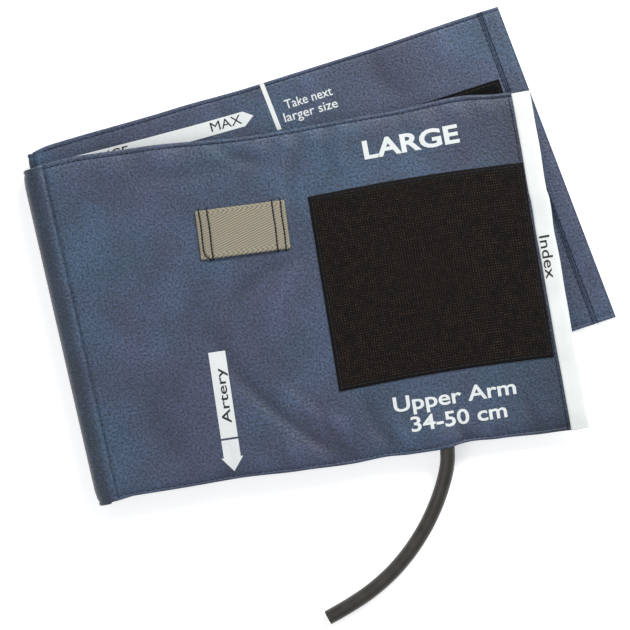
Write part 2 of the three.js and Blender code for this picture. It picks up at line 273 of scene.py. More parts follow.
CLOTH_STEP = 2.2
# How far the long edges stray from straight, as (x, aside)
UPPER_STRAY = [(-121, 0), (-92, 2.4), (-63, 2.0), (-7, -1.0), (54, 0.4), (93, 2.7), (112, 0.9), (125, 0)]
LOWER_STRAY = [(-134, 0), (-127, 1.2), (-115, 2.1), (-95, 2.1), (-64, 2.5), (-35, 1.3), (-11, 0.7), (7, 1.5),
               (18, 0.8), (32, 0.8), (48, 2.5), (62, 1.6), (86, 0.5), (104, 0)]
STRAY_DEPTH = 22
# Soft creases in the top face: from, to, half width, height
CREASES = [
    ((-56, -8), (-40, -46), 4.3, -0.75), ((-44, -40), (-10, -84), 3.4, -1.1),
    ((-34, -40), (-6, -70), 3.1, 0.7), ((-18, -56), (-7, -84), 2.2, -0.8),
    ((-10, 17), (-44, 3), 3.4, -0.8), ((-6, 14), (-30, -16), 3.7, 0.6),
    ((-66, 76), (-18, 70), 3.4, -0.5), ((-30, 84), (-8, 66), 2.8, -0.7),
    ((10, 68), (-3, 36), 3.1, -0.55), ((-54, 36), (-88, 0), 5.6, 0.5),
    ((-50, 22), (-74, -12), 4.3, -0.45), ((62, 66), (68, 44), 3.7, -0.35),
    ((6, -58), (12, -84), 2.8, -0.7), ((16, -70), (22, -88), 2.2, 0.6),
    ((44, -80), (52, -96), 2.2, -0.9), ((62, -84), (58, -99), 2.0, 0.6),
    ((80, -80), (86, -98), 2.5, -0.4), ((-96, -20), (-84, -66), 6.2, -0.4),
    ((-70, -78), (-66, -60), 2.5, -0.4), ((-36, -84), (-40, -66), 2.5, 0.5),
    ((34, 74), (28, 50), 3.1, 0.4),
]
CREASE_LOWEST = -1.1
# Middle of the swell, its half width and depth, rise of the top face, drop of the lining
HOSE_SWELL = (34.4, -97.6, 20.0, 28.0, 2.2, -4.2)
# Painted shade and light in the cloth's colour: how strongly the creases' relief is painted, and how much
# shade is painted near the index edge and round the cover fold.
CREASE_PAINTED_SHADE, INDEX_EDGE_PAINTED_SHADE, FOLD_PAINTED_SHADE = 0.6, 0.8, 0.85
INDEX_STIFF = 14  # the panel lies flat this far from the index edge


def way(angle):
    return np.array([math.cos(math.radians(angle)), math.sin(math.radians(angle))])


def fold_line(fold, side):
    """Lower and upper end of a fold's centre line, and the way in from it.
    side is -1 for a fold at the right."""
    (x, y), angle, radius = fold
    inward = side * way(angle - 90)
    upper = np.array([x, y])
    return upper - WIDTH * way(angle) + radius * inward, upper + radius * inward, inward


def soft_steps(x, table):
    """A smooth curve through a table of (x, value)."""
    xs, ys = np.array(table, float).T
    i = np.clip(np.searchsorted(xs, x) - 1, 0, len(xs) - 2)
    t = np.clip((x - xs[i]) / (xs[i + 1] - xs[i]), 0, 1)
    return ys[i] + (ys[i + 1] - ys[i]) * t * t * (3 - 2 * t)


def fade(x):
    x = np.clip(x, 0, 1)
    return x * x * (3 - 2 * x)


def across_marks(width, step):
    inner = np.linspace(SEAM_AT[-1], width - SEAM_AT[-1], int((width - 2 * SEAM_AT[-1]) / step) + 1)
    return np.array([*SEAM_AT[:-1], *inner, *[width - s for s in reversed(SEAM_AT[:-1])]])


ACROSS = across_marks(WIDTH, CLOTH_STEP)
ALONG_SHARE = ACROSS / WIDTH
cover_lower, cover_upper, cover_in = fold_line(COVER_FOLD, 1)
roll_lower, roll_upper, roll_in = fold_line(ROLL_FOLD, -1)
fold_height = COVER_FOLD[2]


def panel_rows(start, end, rows, height):
    """Rows of points from one edge line to another, from the lower long edge to the upper one."""
    share = ALONG_SHARE[None, :, None]
    first = np.array(start[0]) * (1 - share) + np.array(start[1]) * share
    last = np.array(end[0]) * (1 - share) + np.array(end[1]) * share
    u = np.linspace(0, 1, rows)[:, None, None]
    plan = first * (1 - u) + last * u
    return np.concatenate([plan, height(plan)[..., None]], axis=2)


def sloping(line, inward, offset, base):
    return lambda plan: base + offset - SLOPE * ((plan - line) @ inward)


def turned_rows(fold, side, steps, base, low, high, box=1.0):
    """Rows of points round a fold, from the panel below to the panel above, at radii low and high."""
    lower, upper, inward = fold_line(fold, side)
    share = ALONG_SHARE[:, None]
    spine = lower * (1 - share) + upper * share
    rows = []
    for u in np.linspace(0, 1, steps):
        radius = low + (high - low) * u
        across = math.cos(math.pi * u)
        plan = spine - inward * radius * max(math.sin(math.pi * u), 0) ** box
        z = base - radius * math.copysign(abs(across) ** box, across)
        rows.append(np.column_stack([plan, np.full(len(plan), z)]))
    return np.array(rows)


def pinched(outer, inner, share_at):
    """Both faces of a sleeve, drawn together near its long edges."""
    edge = np.minimum(ACROSS, WIDTH - ACROSS)
    share = np.interp(edge, SEAM_AT, share_at)[None, :, None]
    middle = (outer + inner) / 2
    return middle + (outer - middle) * share, middle + (inner - middle) * share


def crease_height(x, y, creases):
    total = np.zeros_like(x)
    for (ax, ay), (bx, by), half_width, height in creases:
        length = math.hypot(bx - ax, by - ay)
        ux, uy = (bx - ax) / length, (by - ay) / length
        along = ((x - ax) * ux + (y - ay) * uy) / length
        aside = (x - ax) * -uy + (y - ay) * ux + 2.5 * np.sin(3 * along)
        ends = fade(np.minimum(along + 0.25, 1.25 - along) / 0.5)
        total += height * ends * np.exp(-((aside / half_width) ** 2))
    return np.maximum(total, CREASE_LOWEST)


def in_rectangle(x, y, place, size, angle, margin):
    """1 in a sewn rectangle, falling to 0 a margin outside it."""
    c, s = way(angle)
    u = np.abs((x - place[0]) * c + (y - place[1]) * s) - size[0] / 2
    v = np.abs((y - place[1]) * c - (x - place[0]) * s) - size[1] / 2
    return 1 - fade(np.maximum(np.maximum(u, v), 0) / margin)


HOOK_PLACE, HOOK_SIZE, HOOK_ANGLE = (53.267, -11.771), (105.5, 95.5), -8.2
STRAP_PLACE, STRAP_SIZE, STRAP_ANGLE = (-27.033, 37.129), (43.6, 23.8), -9.9


def ring_faces(rows, size):
    """Faces of a flat tube of closed rings: its walls, then a row of faces over each end."""
    faces = [(i * size + j, i * size + (j + 1) % size, (i + 1) * size + (j + 1) % size, (i + 1) * size + j)
             for i in range(rows - 1) for j in range(size)]
    for start in (0, (rows - 1) * size):
        faces += [(start + j, start + j + 1, start + size - 2 - j, start + size - 1 - j)
                  for j in range(size // 2 - 1)]
    return faces


def sleeve_mesh(name, outer, inner, along, tone=None, marks=ACROSS):
    """A closed flat tube from its two faces. UVs are millimetres along and across the cloth.
    tone is shade and light painted into the outer face's colour, kept as the attribute named tone: under 0
    painted darker, over 0 painted lighter.
    marks are the places of the points across the cloth."""
    rows, wide = outer.shape[:2]
    loop = np.concatenate([outer, inner[:, ::-1]], axis=1)
    size = 2 * wide
    faces = ring_faces(rows, size)
    lining = [1 if wide <= j < size - 1 else 0 for j in range(size)]
    slots = lining * (rows - 1) + [0] * (len(faces) - size * (rows - 1))
    across = np.concatenate([marks, marks[::-1] + WIDTH])
    uvs = np.stack([np.repeat(along, size), np.tile(across, rows)], axis=1)
    mesh = closed_mesh(name, loop.reshape(-1, 3), faces, uvs, slots)
    smooth = np.ones(len(faces), bool)
    smooth[-2 * (wide - 1):] = False  # the cut ends, so that sleeves which meet there shade as one
    mesh.polygons.foreach_set("use_smooth", smooth)
    both = np.zeros((rows, size), np.float32)
    if tone is not None:
        both[:, :wide] = tone
    # Painted shade and light: the tone attribute darkens or lightens the outer face's colour in the material.
    mesh.attributes.new("tone", "FLOAT", "POINT").data.foreach_set("value", both.ravel())
    return mesh


def distance_along(rows):
    middle = rows[:, rows.shape[1] // 2]
    return np.concatenate([[0], np.cumsum(np.linalg.norm(np.diff(middle, axis=0), axis=1))])


def cover_faces(outer_skin, inner_skin, rows):
    """Outer and inner face of cover panel, cover fold and middle panel, at two depths in the sleeve."""
    start = (cover_lower + FOLD_GAP * cover_in, cover_upper + FOLD_GAP * cover_in)
    stop = (roll_lower + FOLD_GAP * roll_in, roll_upper + FOLD_GAP * roll_in)
    faces = []
    for depth in (outer_skin, inner_skin):
        radius = fold_height - depth
        cover = panel_rows(COVER_CUT, start, rows, sloping(cover_upper, cover_in, radius, fold_height))
        fold = turned_rows(COVER_FOLD, 1, 19, fold_height, radius, radius, FOLD_BOX)[::-1]
        middle = panel_rows(start, stop, 28, lambda plan, d=depth: np.full(plan.shape[:2], float(d)))
        faces.append(np.concatenate([cover, fold[1:-1], middle]))
    return faces


COVER_ROWS = 112
outer, inner = cover_faces(0, COVER_THICK, COVER_ROWS)
outer, inner = pinched(outer, inner, SEAM_SHARE)
for face in (outer, inner):  # the long edges of the cover panel stray in and out
    x = face[:COVER_ROWS, :, 0]
    start = fade((x + 132) / 12)
    lower_pull = np.clip(1 - ACROSS / STRAY_DEPTH, 0, 1) ** 2
    upper_pull = np.clip(1 - (WIDTH - ACROSS) / STRAY_DEPTH, 0, 1) ** 2
    stray = soft_steps(x, LOWER_STRAY) * lower_pull + soft_steps(x, UPPER_STRAY) * upper_pull
    face[:COVER_ROWS, :, 1] += stray
x, y = outer[:COVER_ROWS, :, 0], outer[:COVER_ROWS, :, 1]
held = 1 - np.maximum(in_rectangle(x, y, HOOK_PLACE, HOOK_SIZE, HOOK_ANGLE, 9),
                      in_rectangle(x, y, STRAP_PLACE, STRAP_SIZE, STRAP_ANGLE, 6))
from_index = (COVER_END[1][0] - x) * 0.99 - (COVER_END[1][1] - y) * 0.127
from_fold = x + 122 - (96 - y) * -0.079
held = held * fade((from_index - 9) / INDEX_STIFF) * fade(from_fold / 16)
edge = np.minimum(ACROSS, WIDTH - ACROSS)[None, :]
near_seam = np.exp(-(((edge - 5) / 5) ** 2))
ripple = 0.32 * np.sin(x / 3.1 + 2 * np.sin(x / 17)) * near_seam * np.sin(x / 23 + 1) ** 2
relief = held * (crease_height(x, y, CREASES) + ripple) * fade(edge / 3)
outer[:COVER_ROWS, :, 2] += relief
# Painted shade and light for the outer face's colour: creases and seam ripples painted darker in their
# hollows and lighter on their ridges, shade painted within 58 mm of the index edge and 14 mm of the cover
# fold, and the fold and middle panel painted in shade all over.
cover_painted_shade = np.zeros(outer.shape[:2])
cover_painted_shade[:COVER_ROWS] = CREASE_PAINTED_SHADE * relief - INDEX_EDGE_PAINTED_SHADE * (1 - fade(from_index / 58))
cover_painted_shade[:COVER_ROWS] -= FOLD_PAINTED_SHADE * (1 - fade(from_fold / 14))
cover_painted_shade[COVER_ROWS:] = -FOLD_PAINTED_SHADE
swell_x, swell_y, swell_half, swell_depth, swell_up, swell_down = HOSE_SWELL
for face, lift in ((outer, swell_up), (inner, swell_down)):
    x, y = face[:COVER_ROWS, :, 0], face[:COVER_ROWS, :, 1]
    aside = np.clip(np.abs(x - swell_x) / swell_half, 0, 1)
    inside = np.clip(ACROSS / swell_depth, 0, 1)[None, :]
    face[:COVER_ROWS, :, 2] += lift * np.cos(aside * np.pi / 2) ** 2 * np.cos(inside * np.pi / 2) ** 2


def satin_weave():
    """Node group: fine speckle, thread relief and broad cloudy patches of a woven satin face."""
    tree = bpy.data.node_groups.new("satin_weave", "ShaderNodeTree")
    face = tree.interface
    face.new_socket("Cloth", in_out="INPUT", socket_type="NodeSocketVector")
    face.new_socket("Object", in_out="INPUT", socket_type="NodeSocketVector")
    face.new_socket("Thread Scale", in_out="INPUT", socket_type="NodeSocketFloat").default_value = 560
    face.new_socket("Grain Scale", in_out="INPUT", socket_type="NodeSocketFloat").default_value = 900
    for label in ("Speckle", "Relief", "Clouds", "Patches"):
        face.new_socket(label, in_out="OUTPUT", socket_type="NodeSocketFloat")
    nodes, link = tree.nodes, tree.links.new
    source, result = nodes.new("NodeGroupInput"), nodes.new("NodeGroupOutput")
    grain = add(nodes, "ShaderNodeTexNoise", Detail=1.5)
    link(source.outputs["Cloth"], grain.inputs["Vector"])
    link(source.outputs["Grain Scale"], grain.inputs["Scale"])
    spread = add(nodes, "ShaderNodeMapRange", From_Min=0.3, From_Max=0.7)
    link(grain.outputs["Fac"], spread.inputs["Value"])
    link(spread.outputs["Result"], result.inputs["Speckle"])
    threads = []
    for direction in ("X", "Y"):
        wave = nodes.new("ShaderNodeTexWave")
        wave.bands_direction = direction
        wave.inputs["Distortion"].default_value = 0.6
        wave.inputs["Detail"].default_value = 1
        link(source.outputs["Cloth"], wave.inputs["Vector"])
        link(source.outputs["Thread Scale"], wave.inputs["Scale"])
        threads.append(wave.outputs["Fac"])
    over = nodes.new("ShaderNodeMath")
    over.operation = "MAXIMUM"
    link(threads[0], over.inputs[0])
    link(threads[1], over.inputs[1])
    height = nodes.new("ShaderNodeMath")
    height.operation = "MULTIPLY_ADD"
    height.inputs[1].default_value = 0.6
    link(over.outputs[0], height.inputs[0])
    link(spread.outputs["Result"], height.inputs[2])
    link(height.outputs[0], result.inputs["Relief"])
    for label, scale, detail in (("Clouds", 17, 3), ("Patches", 48, 3)):
        cloud = add(nodes, "ShaderNodeTexNoise", Scale=scale, Detail=detail, Roughness=0.55)
        link(source.outputs["Object"], cloud.inputs["Vector"])
        wide = add(nodes, "ShaderNodeMapRange", From_Min=0.34, From_Max=0.66)
        link(cloud.outputs["Fac"], wide.inputs["Value"])
        link(wide.outputs["Result"], result.inputs[label])
    return tree


WEAVE = satin_weave()


def coated_nylon(name, violet, teal, dark, roughness, bump_strength):
    material, nodes, link, shader = new_material(name)
    place = nodes.new("ShaderNodeTexCoord")
    cloth = nodes.new("ShaderNodeUVMap")
    cloth.uv_map = "cloth"
    weave = nodes.new("ShaderNodeGroup")
    weave.node_tree = WEAVE
    link(cloth.outputs["UV"], weave.inputs["Cloth"])
    link(place.outputs["Object"], weave.inputs["Object"])
    hue = nodes.new("ShaderNodeMix")
    hue.data_type = "RGBA"
    colour_in = [s for s in hue.inputs if s.type == "RGBA"]
    colour_in[0].default_value = srgb(violet)
    colour_in[1].default_value = srgb(teal)
    link(weave.outputs["Clouds"], hue.inputs[0])
    shade = nodes.new("ShaderNodeMix")
    shade.data_type = "RGBA"
    colour_in = [s for s in shade.inputs if s.type == "RGBA"]
    colour_in[1].default_value = srgb(dark)
    patch_amount = nodes.new("ShaderNodeMath")
    patch_amount.operation = "MULTIPLY"
    patch_amount.inputs[1].default_value = 0.42
    link(weave.outputs["Patches"], patch_amount.inputs[0])
    link(patch_amount.outputs[0], shade.inputs[0])
    link(next(s for s in hue.outputs if s.type == "RGBA"), colour_in[0])
    speck = add(nodes, "ShaderNodeMapRange", To_Min=0.40, To_Max=1.62)
    link(weave.outputs["Speckle"], speck.inputs["Value"])
    # Painted shade and light: the tone attribute darkens or lightens the base colour by 1 + 0.6 times its
    # value, together with the speckle.
    turned = nodes.new("ShaderNodeAttribute")
    turned.attribute_name = "tone"
    painted_shade_factor = nodes.new("ShaderNodeMath")
    painted_shade_factor.operation = "MULTIPLY_ADD"
    painted_shade_factor.inputs[1].default_value = 0.6
    painted_shade_factor.inputs[2].default_value = 1.0
    link(turned.outputs["Fac"], painted_shade_factor.inputs[0])
    amount = nodes.new("ShaderNodeMath")
    amount.operation = "MULTIPLY"
    link(painted_shade_factor.outputs[0], amount.inputs[0])
    link(speck.outputs["Result"], amount.inputs[1])
    bright = nodes.new("ShaderNodeVectorMath")
    bright.operation = "SCALE"
    link(next(s for s in shade.outputs if s.type == "RGBA"), bright.inputs[0])
    link(amount.outputs[0], bright.inputs["Scale"])
    link(bright.outputs["Vector"], shader.inputs["Base Color"])
    rough = add(nodes, "ShaderNodeMapRange", To_Min=roughness + 0.08, To_Max=roughness - 0.08)
    link(weave.outputs["Speckle"], rough.inputs["Value"])
    link(rough.outputs["Result"], shader.inputs["Roughness"])
    shader.inputs["Sheen Weight"].default_value = 0.18
    shader.inputs["Sheen Roughness"].default_value = 0.4
    shader.inputs["Specular IOR Level"].default_value = 0.55
    add_bump(nodes, link, shader, weave.outputs["Relief"], bump_strength, 0.00022)
    return material


NAVY = coated_nylon("navy_satin_nylon", "40445f", "3a536c", "232a3c", 0.44, 0.5)
LINING = coated_nylon("navy_lining_nylon", "343a52", "33475c", "1d2435", 0.62, 0.35)

cover_face = outer.copy()
# The one long sleeve is made in three lengths that meet face to face, cut a row past the fold on each side:
# the flat panels are hung on their bodies, and the length round the fold is a piece of its own.
FOLD_CUTS = (COVER_ROWS - 2, COVER_ROWS + 18)


def sleeve_lengths(names, outer, inner, cuts, materials, tone=None, marks=ACROSS):
    """A sleeve as three pieces: on the cover panel, round its fold and on the middle panel."""
    along = distance_along(outer)
    pieces = []
    for name, rows in zip(names, (slice(0, cuts[0] + 1), slice(cuts[0], cuts[1] + 1), slice(cuts[1], None))):
        # tone is the painted shade and light for the sleeve, cut to each piece's rows.
        shade = None if tone is None else tone[rows]
        piece = new_object(name, sleeve_mesh(name, outer[rows], inner[rows], along[rows], shade, marks))
        for material in materials:
            piece.data.materials.append(material)
        pieces.append(piece)
    return pieces


cover_sleeve, fold_sleeve, middle_sleeve = sleeve_lengths(
    ("cover_sleeve", "fold_sleeve", "middle_sleeve"), outer, inner, FOLD_CUTS, (NAVY, LINING), cover_painted_shade)
cover_top = BVHTree.FromObject(cover_sleeve, bpy.context.evaluated_depsgraph_get())
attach(cover_sleeve, "cover_panel")
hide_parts("cover_outer_shell", "cover_inner_shell")
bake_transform(fold_sleeve)
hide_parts("cover_turn_outer", "cover_turn_inner")
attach(middle_sleeve, "middle_panel")
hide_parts("middle_outer_shell", "middle_inner_shell")

# ---- Bladder and its port ----
# A flat rubber bag, empty of air, sealed all round and laid in the sleeve on both sides of the cover fold.
# The moulded port is bonded to it, and the hose is pushed over the port's barb.
BLADDER_DEPTHS = (1.3, 2.1)
BLADDER_INSET = 5
BLADDER_END = 14
BLADDER_TAIL_END = 6


def black_rubber():
    material, nodes, link, shader = new_material("bladder_rubber")
    place = nodes.new("ShaderNodeTexCoord")
    talc = add(nodes, "ShaderNodeTexNoise", Scale=90, Detail=5)
    link(place.outputs["Object"], talc.inputs["Vector"])
    tone = ramp(nodes, link, talc.outputs["Fac"], "232120", "3a3735")
    link(tone.outputs["Color"], shader.inputs["Base Color"])
    shader.inputs["Roughness"].default_value = 0.6
    add_bump(nodes, link, shader, talc.outputs["Fac"], 0.2, 0.0002)
    return material


BAG_ROWS = 60
bag_outer, bag_inner = cover_faces(*BLADDER_DEPTHS, BAG_ROWS)
keep = slice(len(SEAM_AT), len(ACROSS) - len(SEAM_AT))
along = distance_along(bag_outer)
rows = (along > BLADDER_END) & (along < along[-1] - BLADDER_TAIL_END)
bag_outer, bag_inner = bag_outer[rows][:, keep], bag_inner[rows][:, keep]
RUBBER = black_rubber()
first_row = int(np.argmax(rows))
bag_cuts = (BAG_ROWS - 2 - first_row, BAG_ROWS + 18 - first_row)
bladder_front, bladder_turn, bladder_back = sleeve_lengths(
    ("bladder_front", "bladder_turn", "bladder_back"), bag_outer, bag_inner, bag_cuts, (RUBBER, RUBBER),
    marks=ACROSS[keep])
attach(bladder_front, "cover_panel")
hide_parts("bladder_front_outer", "bladder_front_inner")
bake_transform(bladder_turn)
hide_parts("bladder_turn_outer", "bladder_turn_inner")
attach(bladder_back, "middle_panel")
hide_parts("bladder_back_outer", "bladder_back_inner")

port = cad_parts["bladder_port"]
port.data.materials.clear()
port.data.materials.append(RUBBER)

# ---- Return panel, roll fold and tail fold ----
# The same sleeve goes on without the bladder, so it is thin: it rolls over at the end of the bladder,
# runs back under the tail and turns once more at the tail fold.
TAIL_FOLD = ((-116.633, 103.829), 86.3)
THIN = 1.6
RETURN_BOTTOM = 3.5
RETURN_TOP = RETURN_BOTTOM + THIN
THIN_SHARE = [0.3, 0.7, 0.86, 0.8, 0.5, 0.8, 0.95, 1.0]
TAIL_END = ((134.261, -57.5), (124.366, 104.670))
tail_angle_in = way(TAIL_FOLD[1] - 90)
tail_reach = (np.array(TAIL_END[0]) - np.array(TAIL_FOLD[0])) @ tail_angle_in
TAIL_INSIDE = (SLOPE * (tail_reach - THIN) - RETURN_TOP) / (1 + math.hypot(1, SLOPE) + SLOPE)
TAIL_OUT = TAIL_INSIDE + THIN
TAIL_HEIGHT = RETURN_TOP + TAIL_INSIDE
tail_fold = (*TAIL_FOLD, TAIL_OUT)
tail_lower, tail_upper, tail_in = fold_line(tail_fold, 1)


def return_faces():
    radius = ROLL_FOLD[2]
    roll_start = (roll_lower + FOLD_GAP * roll_in, roll_upper + FOLD_GAP * roll_in)
    back_start = (tail_lower + FOLD_GAP * tail_in, tail_upper + FOLD_GAP * tail_in)
    outside = [turned_rows(ROLL_FOLD, -1, 13, radius, radius, RETURN_TOP - radius)]
    inside = [turned_rows(ROLL_FOLD, -1, 13, radius, 0.2, 0.2)]
    for rows, height in ((outside, RETURN_TOP), (inside, RETURN_BOTTOM)):
        level = lambda plan, h=height: np.full(plan.shape[:2], h)
        rows.append(panel_rows(roll_start, back_start, 26, level))
    outside.append(turned_rows(tail_fold, 1, 13, TAIL_HEIGHT, TAIL_INSIDE, TAIL_INSIDE))
    inside.append(turned_rows(tail_fold, 1, 13, TAIL_HEIGHT, TAIL_OUT, TAIL_OUT))
    return np.concatenate(outside), np.concatenate(inside)


outer, inner = pinched(*return_faces(), THIN_SHARE)
return_sleeve = new_object("return_sleeve", sleeve_mesh("return_sleeve", outer, inner, distance_along(outer)))
return_sleeve.data.materials.append(NAVY)
return_sleeve.data.materials.append(LINING)
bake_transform(return_sleeve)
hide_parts("return_inner_shell", "return_outer_shell", "roll_turn_outer", "roll_turn_inner",
            "tail_turn_outer", "tail_turn_inner")

# ---- Tail ----
# The sleeve's free end lies on the roll with its lining side up and reaches past the index edge.
# It is two thin layers of cloth with nothing between them, so it lies flat and only its long edges wander.
TAIL_UPPER_STRAY = [(-117, 0), (-105, 1.4), (-42, 0), (-3, -1.1), (54, -1.1), (112, 0), (125, 0)]
TAIL_CREASES = [
    ((-84, 98), (-60, 84), 5, -0.3), ((-20, 102), (-10, 84), 4, -0.3),
    ((24, 103), (30, 82), 4, 0.25), ((58, 104), (66, 78), 5, -0.35),
    ((92, 103), (98, 84), 5, 0.25), ((119, 60), (127, 20), 5, 0.25),
    ((122, -20), (131, -44), 5, -0.25),
]
TAIL_ROWS = 110
TAIL_LENGTH = 251
tail_start = (tail_lower + FOLD_GAP * tail_in, tail_upper + FOLD_GAP * tail_in)
upward = panel_rows(tail_start, TAIL_END, TAIL_ROWS, sloping(tail_upper, tail_in, TAIL_OUT, TAIL_HEIGHT))
downward = panel_rows(tail_start, TAIL_END, TAIL_ROWS, sloping(tail_upper, tail_in, TAIL_INSIDE, TAIL_HEIGHT))
upward, downward = pinched(upward, downward, THIN_SHARE)
upper_pull = np.clip(1 - (WIDTH - ACROSS) / STRAY_DEPTH, 0, 1) ** 2
for face in (upward, downward):
    face[:, :, 1] += soft_steps(face[:, :, 0], TAIL_UPPER_STRAY) * upper_pull
tail_relief = crease_height(upward[:, :, 0], upward[:, :, 1], TAIL_CREASES) * fade(edge / 3)
upward[:, :, 2] += tail_relief
# The tail's creases are painted into its colour too: painted shade in their hollows, painted light on their
# ridges.
tail_mesh = sleeve_mesh("tail_sleeve", upward, downward, distance_along(upward), 1.6 * tail_relief)
tail_sleeve = new_object("tail_sleeve", tail_mesh)
tail_sleeve.data.materials.append(NAVY)
tail_sleeve.data.materials.append(NAVY)
tail_top = BVHTree.FromObject(tail_sleeve, bpy.context.evaluated_depsgraph_get())
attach(tail_sleeve, "tail")
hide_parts("tail_outer_shell", "tail_inner_shell")

# ---- Hem of the tail ----
# The end of the tail is turned up once and sewn down, which makes a doubled band along its end.
HEM_WIDTH = 10.7
HEM_THICK = 0.5
HEM_SEAM_IN = 1.5


def dropped(tree, x, y, lift=0.0):
    """Height in millimetres of the cloth under a point, plus a lift."""
    hit = tree.ray_cast(Vector((x * MM, y * MM, 0.2)), Vector((0, 0, -1)))[0]
    return (hit.z / MM if hit else 0.0) + lift


hem_share = 1 - HEM_WIDTH / TAIL_LENGTH
hem_start = [np.array(tail_start[i]) * (1 - hem_share) + np.array(TAIL_END[i]) * hem_share for i in (0, 1)]
hem_stop = [np.array(tail_start[i]) * 0.0015 + np.array(TAIL_END[i]) * 0.9985 for i in (0, 1)]
hem_rows = panel_rows(hem_start, hem_stop, 9, lambda plan: np.zeros(plan.shape[:2]))
hem_rows[:, 0, 1] += 0.15
hem_rows[:, -1, 1] -= 0.15
hem_top, hem_under = hem_rows.copy(), hem_rows.copy()
hem_crown = np.array([0.1, 0.8, 1, 0.85, 1, 1, 1, 0.85, 0.3])
for i in range(9):
    for j in range(len(ACROSS)):
        ground = dropped(tail_top, *hem_rows[i, j, :2])
        hem_top[i, j, 2] = ground + HEM_THICK * hem_crown[i]
        hem_under[i, j, 2] = ground - 0.12
hem_mesh = sleeve_mesh("tail_hem_band", hem_top, hem_under, distance_along(hem_top))
tail_hem = new_object("tail_hem_band", hem_mesh)
tail_hem.data.materials.append(NAVY)
tail_hem.data.materials.append(NAVY)
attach(tail_hem, "tail")
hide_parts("tail_hem")

# ---- Hook patch and loop patch ----
# Two rectangles of woven touch tape, sewn round their edges: hooks on the cover panel, loops on the tail.
# The hooks stand in zigzag rows on a dark tape; the loops are a soft tangled pile.
HOOK_BOW = 1.3
HOOK_TAPE = 1.0
HOOK_PITCH = (1.26, 1.26)
HOOK_LEAN = 40
LOOP_PLACE, LOOP_SIZE, LOOP_ANGLE = (65.767, 23.629), (98.0, 93.0), 0.6
LOOP_TAPE = 0.6
LOOP_PITCH = (2.0, 2.0)
TAPE_BORDER = 3.0


def on_patch(place, angle, u, v, bow=0.0, length=1.0):
    """Plan of a spot on a sewn patch, from millimetres along and across it."""
    c, s = way(angle)
    v = v + bow * np.sin(np.pi * np.clip(u / length + 0.5, 0, 1))
    return place[0] + u * c - v * s, place[1] + u * s + v * c


def tape_mesh(name, place, size, angle, thick, height, bow=0.0, step=2.0):
    """A flat sewn tape with rounded edges, closed underneath."""
    us, vs = (np.array([0, 0.25, 1.0, *np.linspace(2, long - 2, int(long / step)),
                        long - 1, long - 0.25, long])
              for long in size)
    u, v = np.meshgrid(us - size[0] / 2, vs - size[1] / 2, indexing="ij")
    x, y = on_patch(place, angle, u, v, bow, size[0])
    edge = np.minimum(size[0] / 2 - np.abs(u), size[1] / 2 - np.abs(v))
    round_off = np.interp(edge, [0, 0.25, 1.0, 2.0], [0.35, 0.75, 0.95, 1.0])
    base = height(np.stack([x, y], axis=-1))
    top = np.stack([x, y, base + thick * round_off], axis=-1)
    under = np.stack([x, y, base - 0.15], axis=-1)
    rows, wide = top.shape[:2]
    loop = np.concatenate([top, under[:, ::-1]], axis=1)
    uv = np.concatenate([np.stack([u, v], axis=-1), np.stack([u, v], axis=-1)[:, ::-1]], axis=1)
    return closed_mesh(name, loop.reshape(-1, 3), ring_faces(rows, 2 * wide), uv.reshape(-1, 2))


def pile_tree():
    """Geometry Nodes: a bent bristle on every point, turned by the point's own lean."""
    tree = bpy.data.node_groups.new("tape_pile", "GeometryNodeTree")
    face = tree.interface
    face.new_socket("Geometry", in_out="INPUT", socket_type="NodeSocketGeometry")
    for label, value in (("Bend Radius", 0.0005), ("Sweep", 4.2), ("Start", -0.5), ("Thread Radius", 0.0001)):
        face.new_socket(label, in_out="INPUT", socket_type="NodeSocketFloat").default_value = value
    face.new_socket("Steps", in_out="INPUT", socket_type="NodeSocketInt").default_value = 5
    face.new_socket("Bristle", in_out="INPUT", socket_type="NodeSocketMaterial")
    face.new_socket("Geometry", in_out="OUTPUT", socket_type="NodeSocketGeometry")
    nodes, link = tree.nodes, tree.links.new
    source, result = nodes.new("NodeGroupInput"), nodes.new("NodeGroupOutput")
    arc = nodes.new("GeometryNodeCurveArc")
    arc.mode = "RADIUS"
    link(source.outputs["Steps"], arc.inputs["Resolution"])
    link(source.outputs["Bend Radius"], arc.inputs["Radius"])
    link(source.outputs["Sweep"], arc.inputs["Sweep Angle"])
    link(source.outputs["Start"], arc.inputs["Start Angle"])
    upright = add(nodes, "GeometryNodeTransform", Rotation=(math.pi / 2, 0, 0))
    link(arc.outputs["Curve"], upright.inputs["Geometry"])
    section = add(nodes, "GeometryNodeCurvePrimitiveCircle", Resolution=3)
    link(source.outputs["Thread Radius"], section.inputs["Radius"])
    bristle = add(nodes, "GeometryNodeCurveToMesh", Fill_Caps=True)
    link(upright.outputs["Geometry"], bristle.inputs["Curve"])
    link(section.outputs["Curve"], bristle.inputs["Profile Curve"])
    lean = nodes.new("GeometryNodeInputNamedAttribute")
    lean.data_type = "FLOAT"
    lean.inputs["Name"].default_value = "lean"
    turn = nodes.new("ShaderNodeCombineXYZ")
    link(next(s for s in lean.outputs if s.enabled and s.name == "Attribute"), turn.inputs["Z"])
    rotation = nodes.new("FunctionNodeEulerToRotation")
    link(turn.outputs["Vector"], rotation.inputs["Euler"])
    stand = nodes.new("GeometryNodeInstanceOnPoints")
    link(source.outputs["Geometry"], stand.inputs["Points"])
    link(bristle.outputs["Mesh"], stand.inputs["Instance"])
    link(rotation.outputs["Rotation"], stand.inputs["Rotation"])
    real = nodes.new("GeometryNodeRealizeInstances")
    link(stand.outputs["Instances"], real.inputs["Geometry"])
    paint = nodes.new("GeometryNodeSetMaterial")
    link(real.outputs["Geometry"], paint.inputs["Geometry"])
    link(source.outputs["Bristle"], paint.inputs["Material"])
    link(paint.outputs["Geometry"], result.inputs["Geometry"])
    return tree


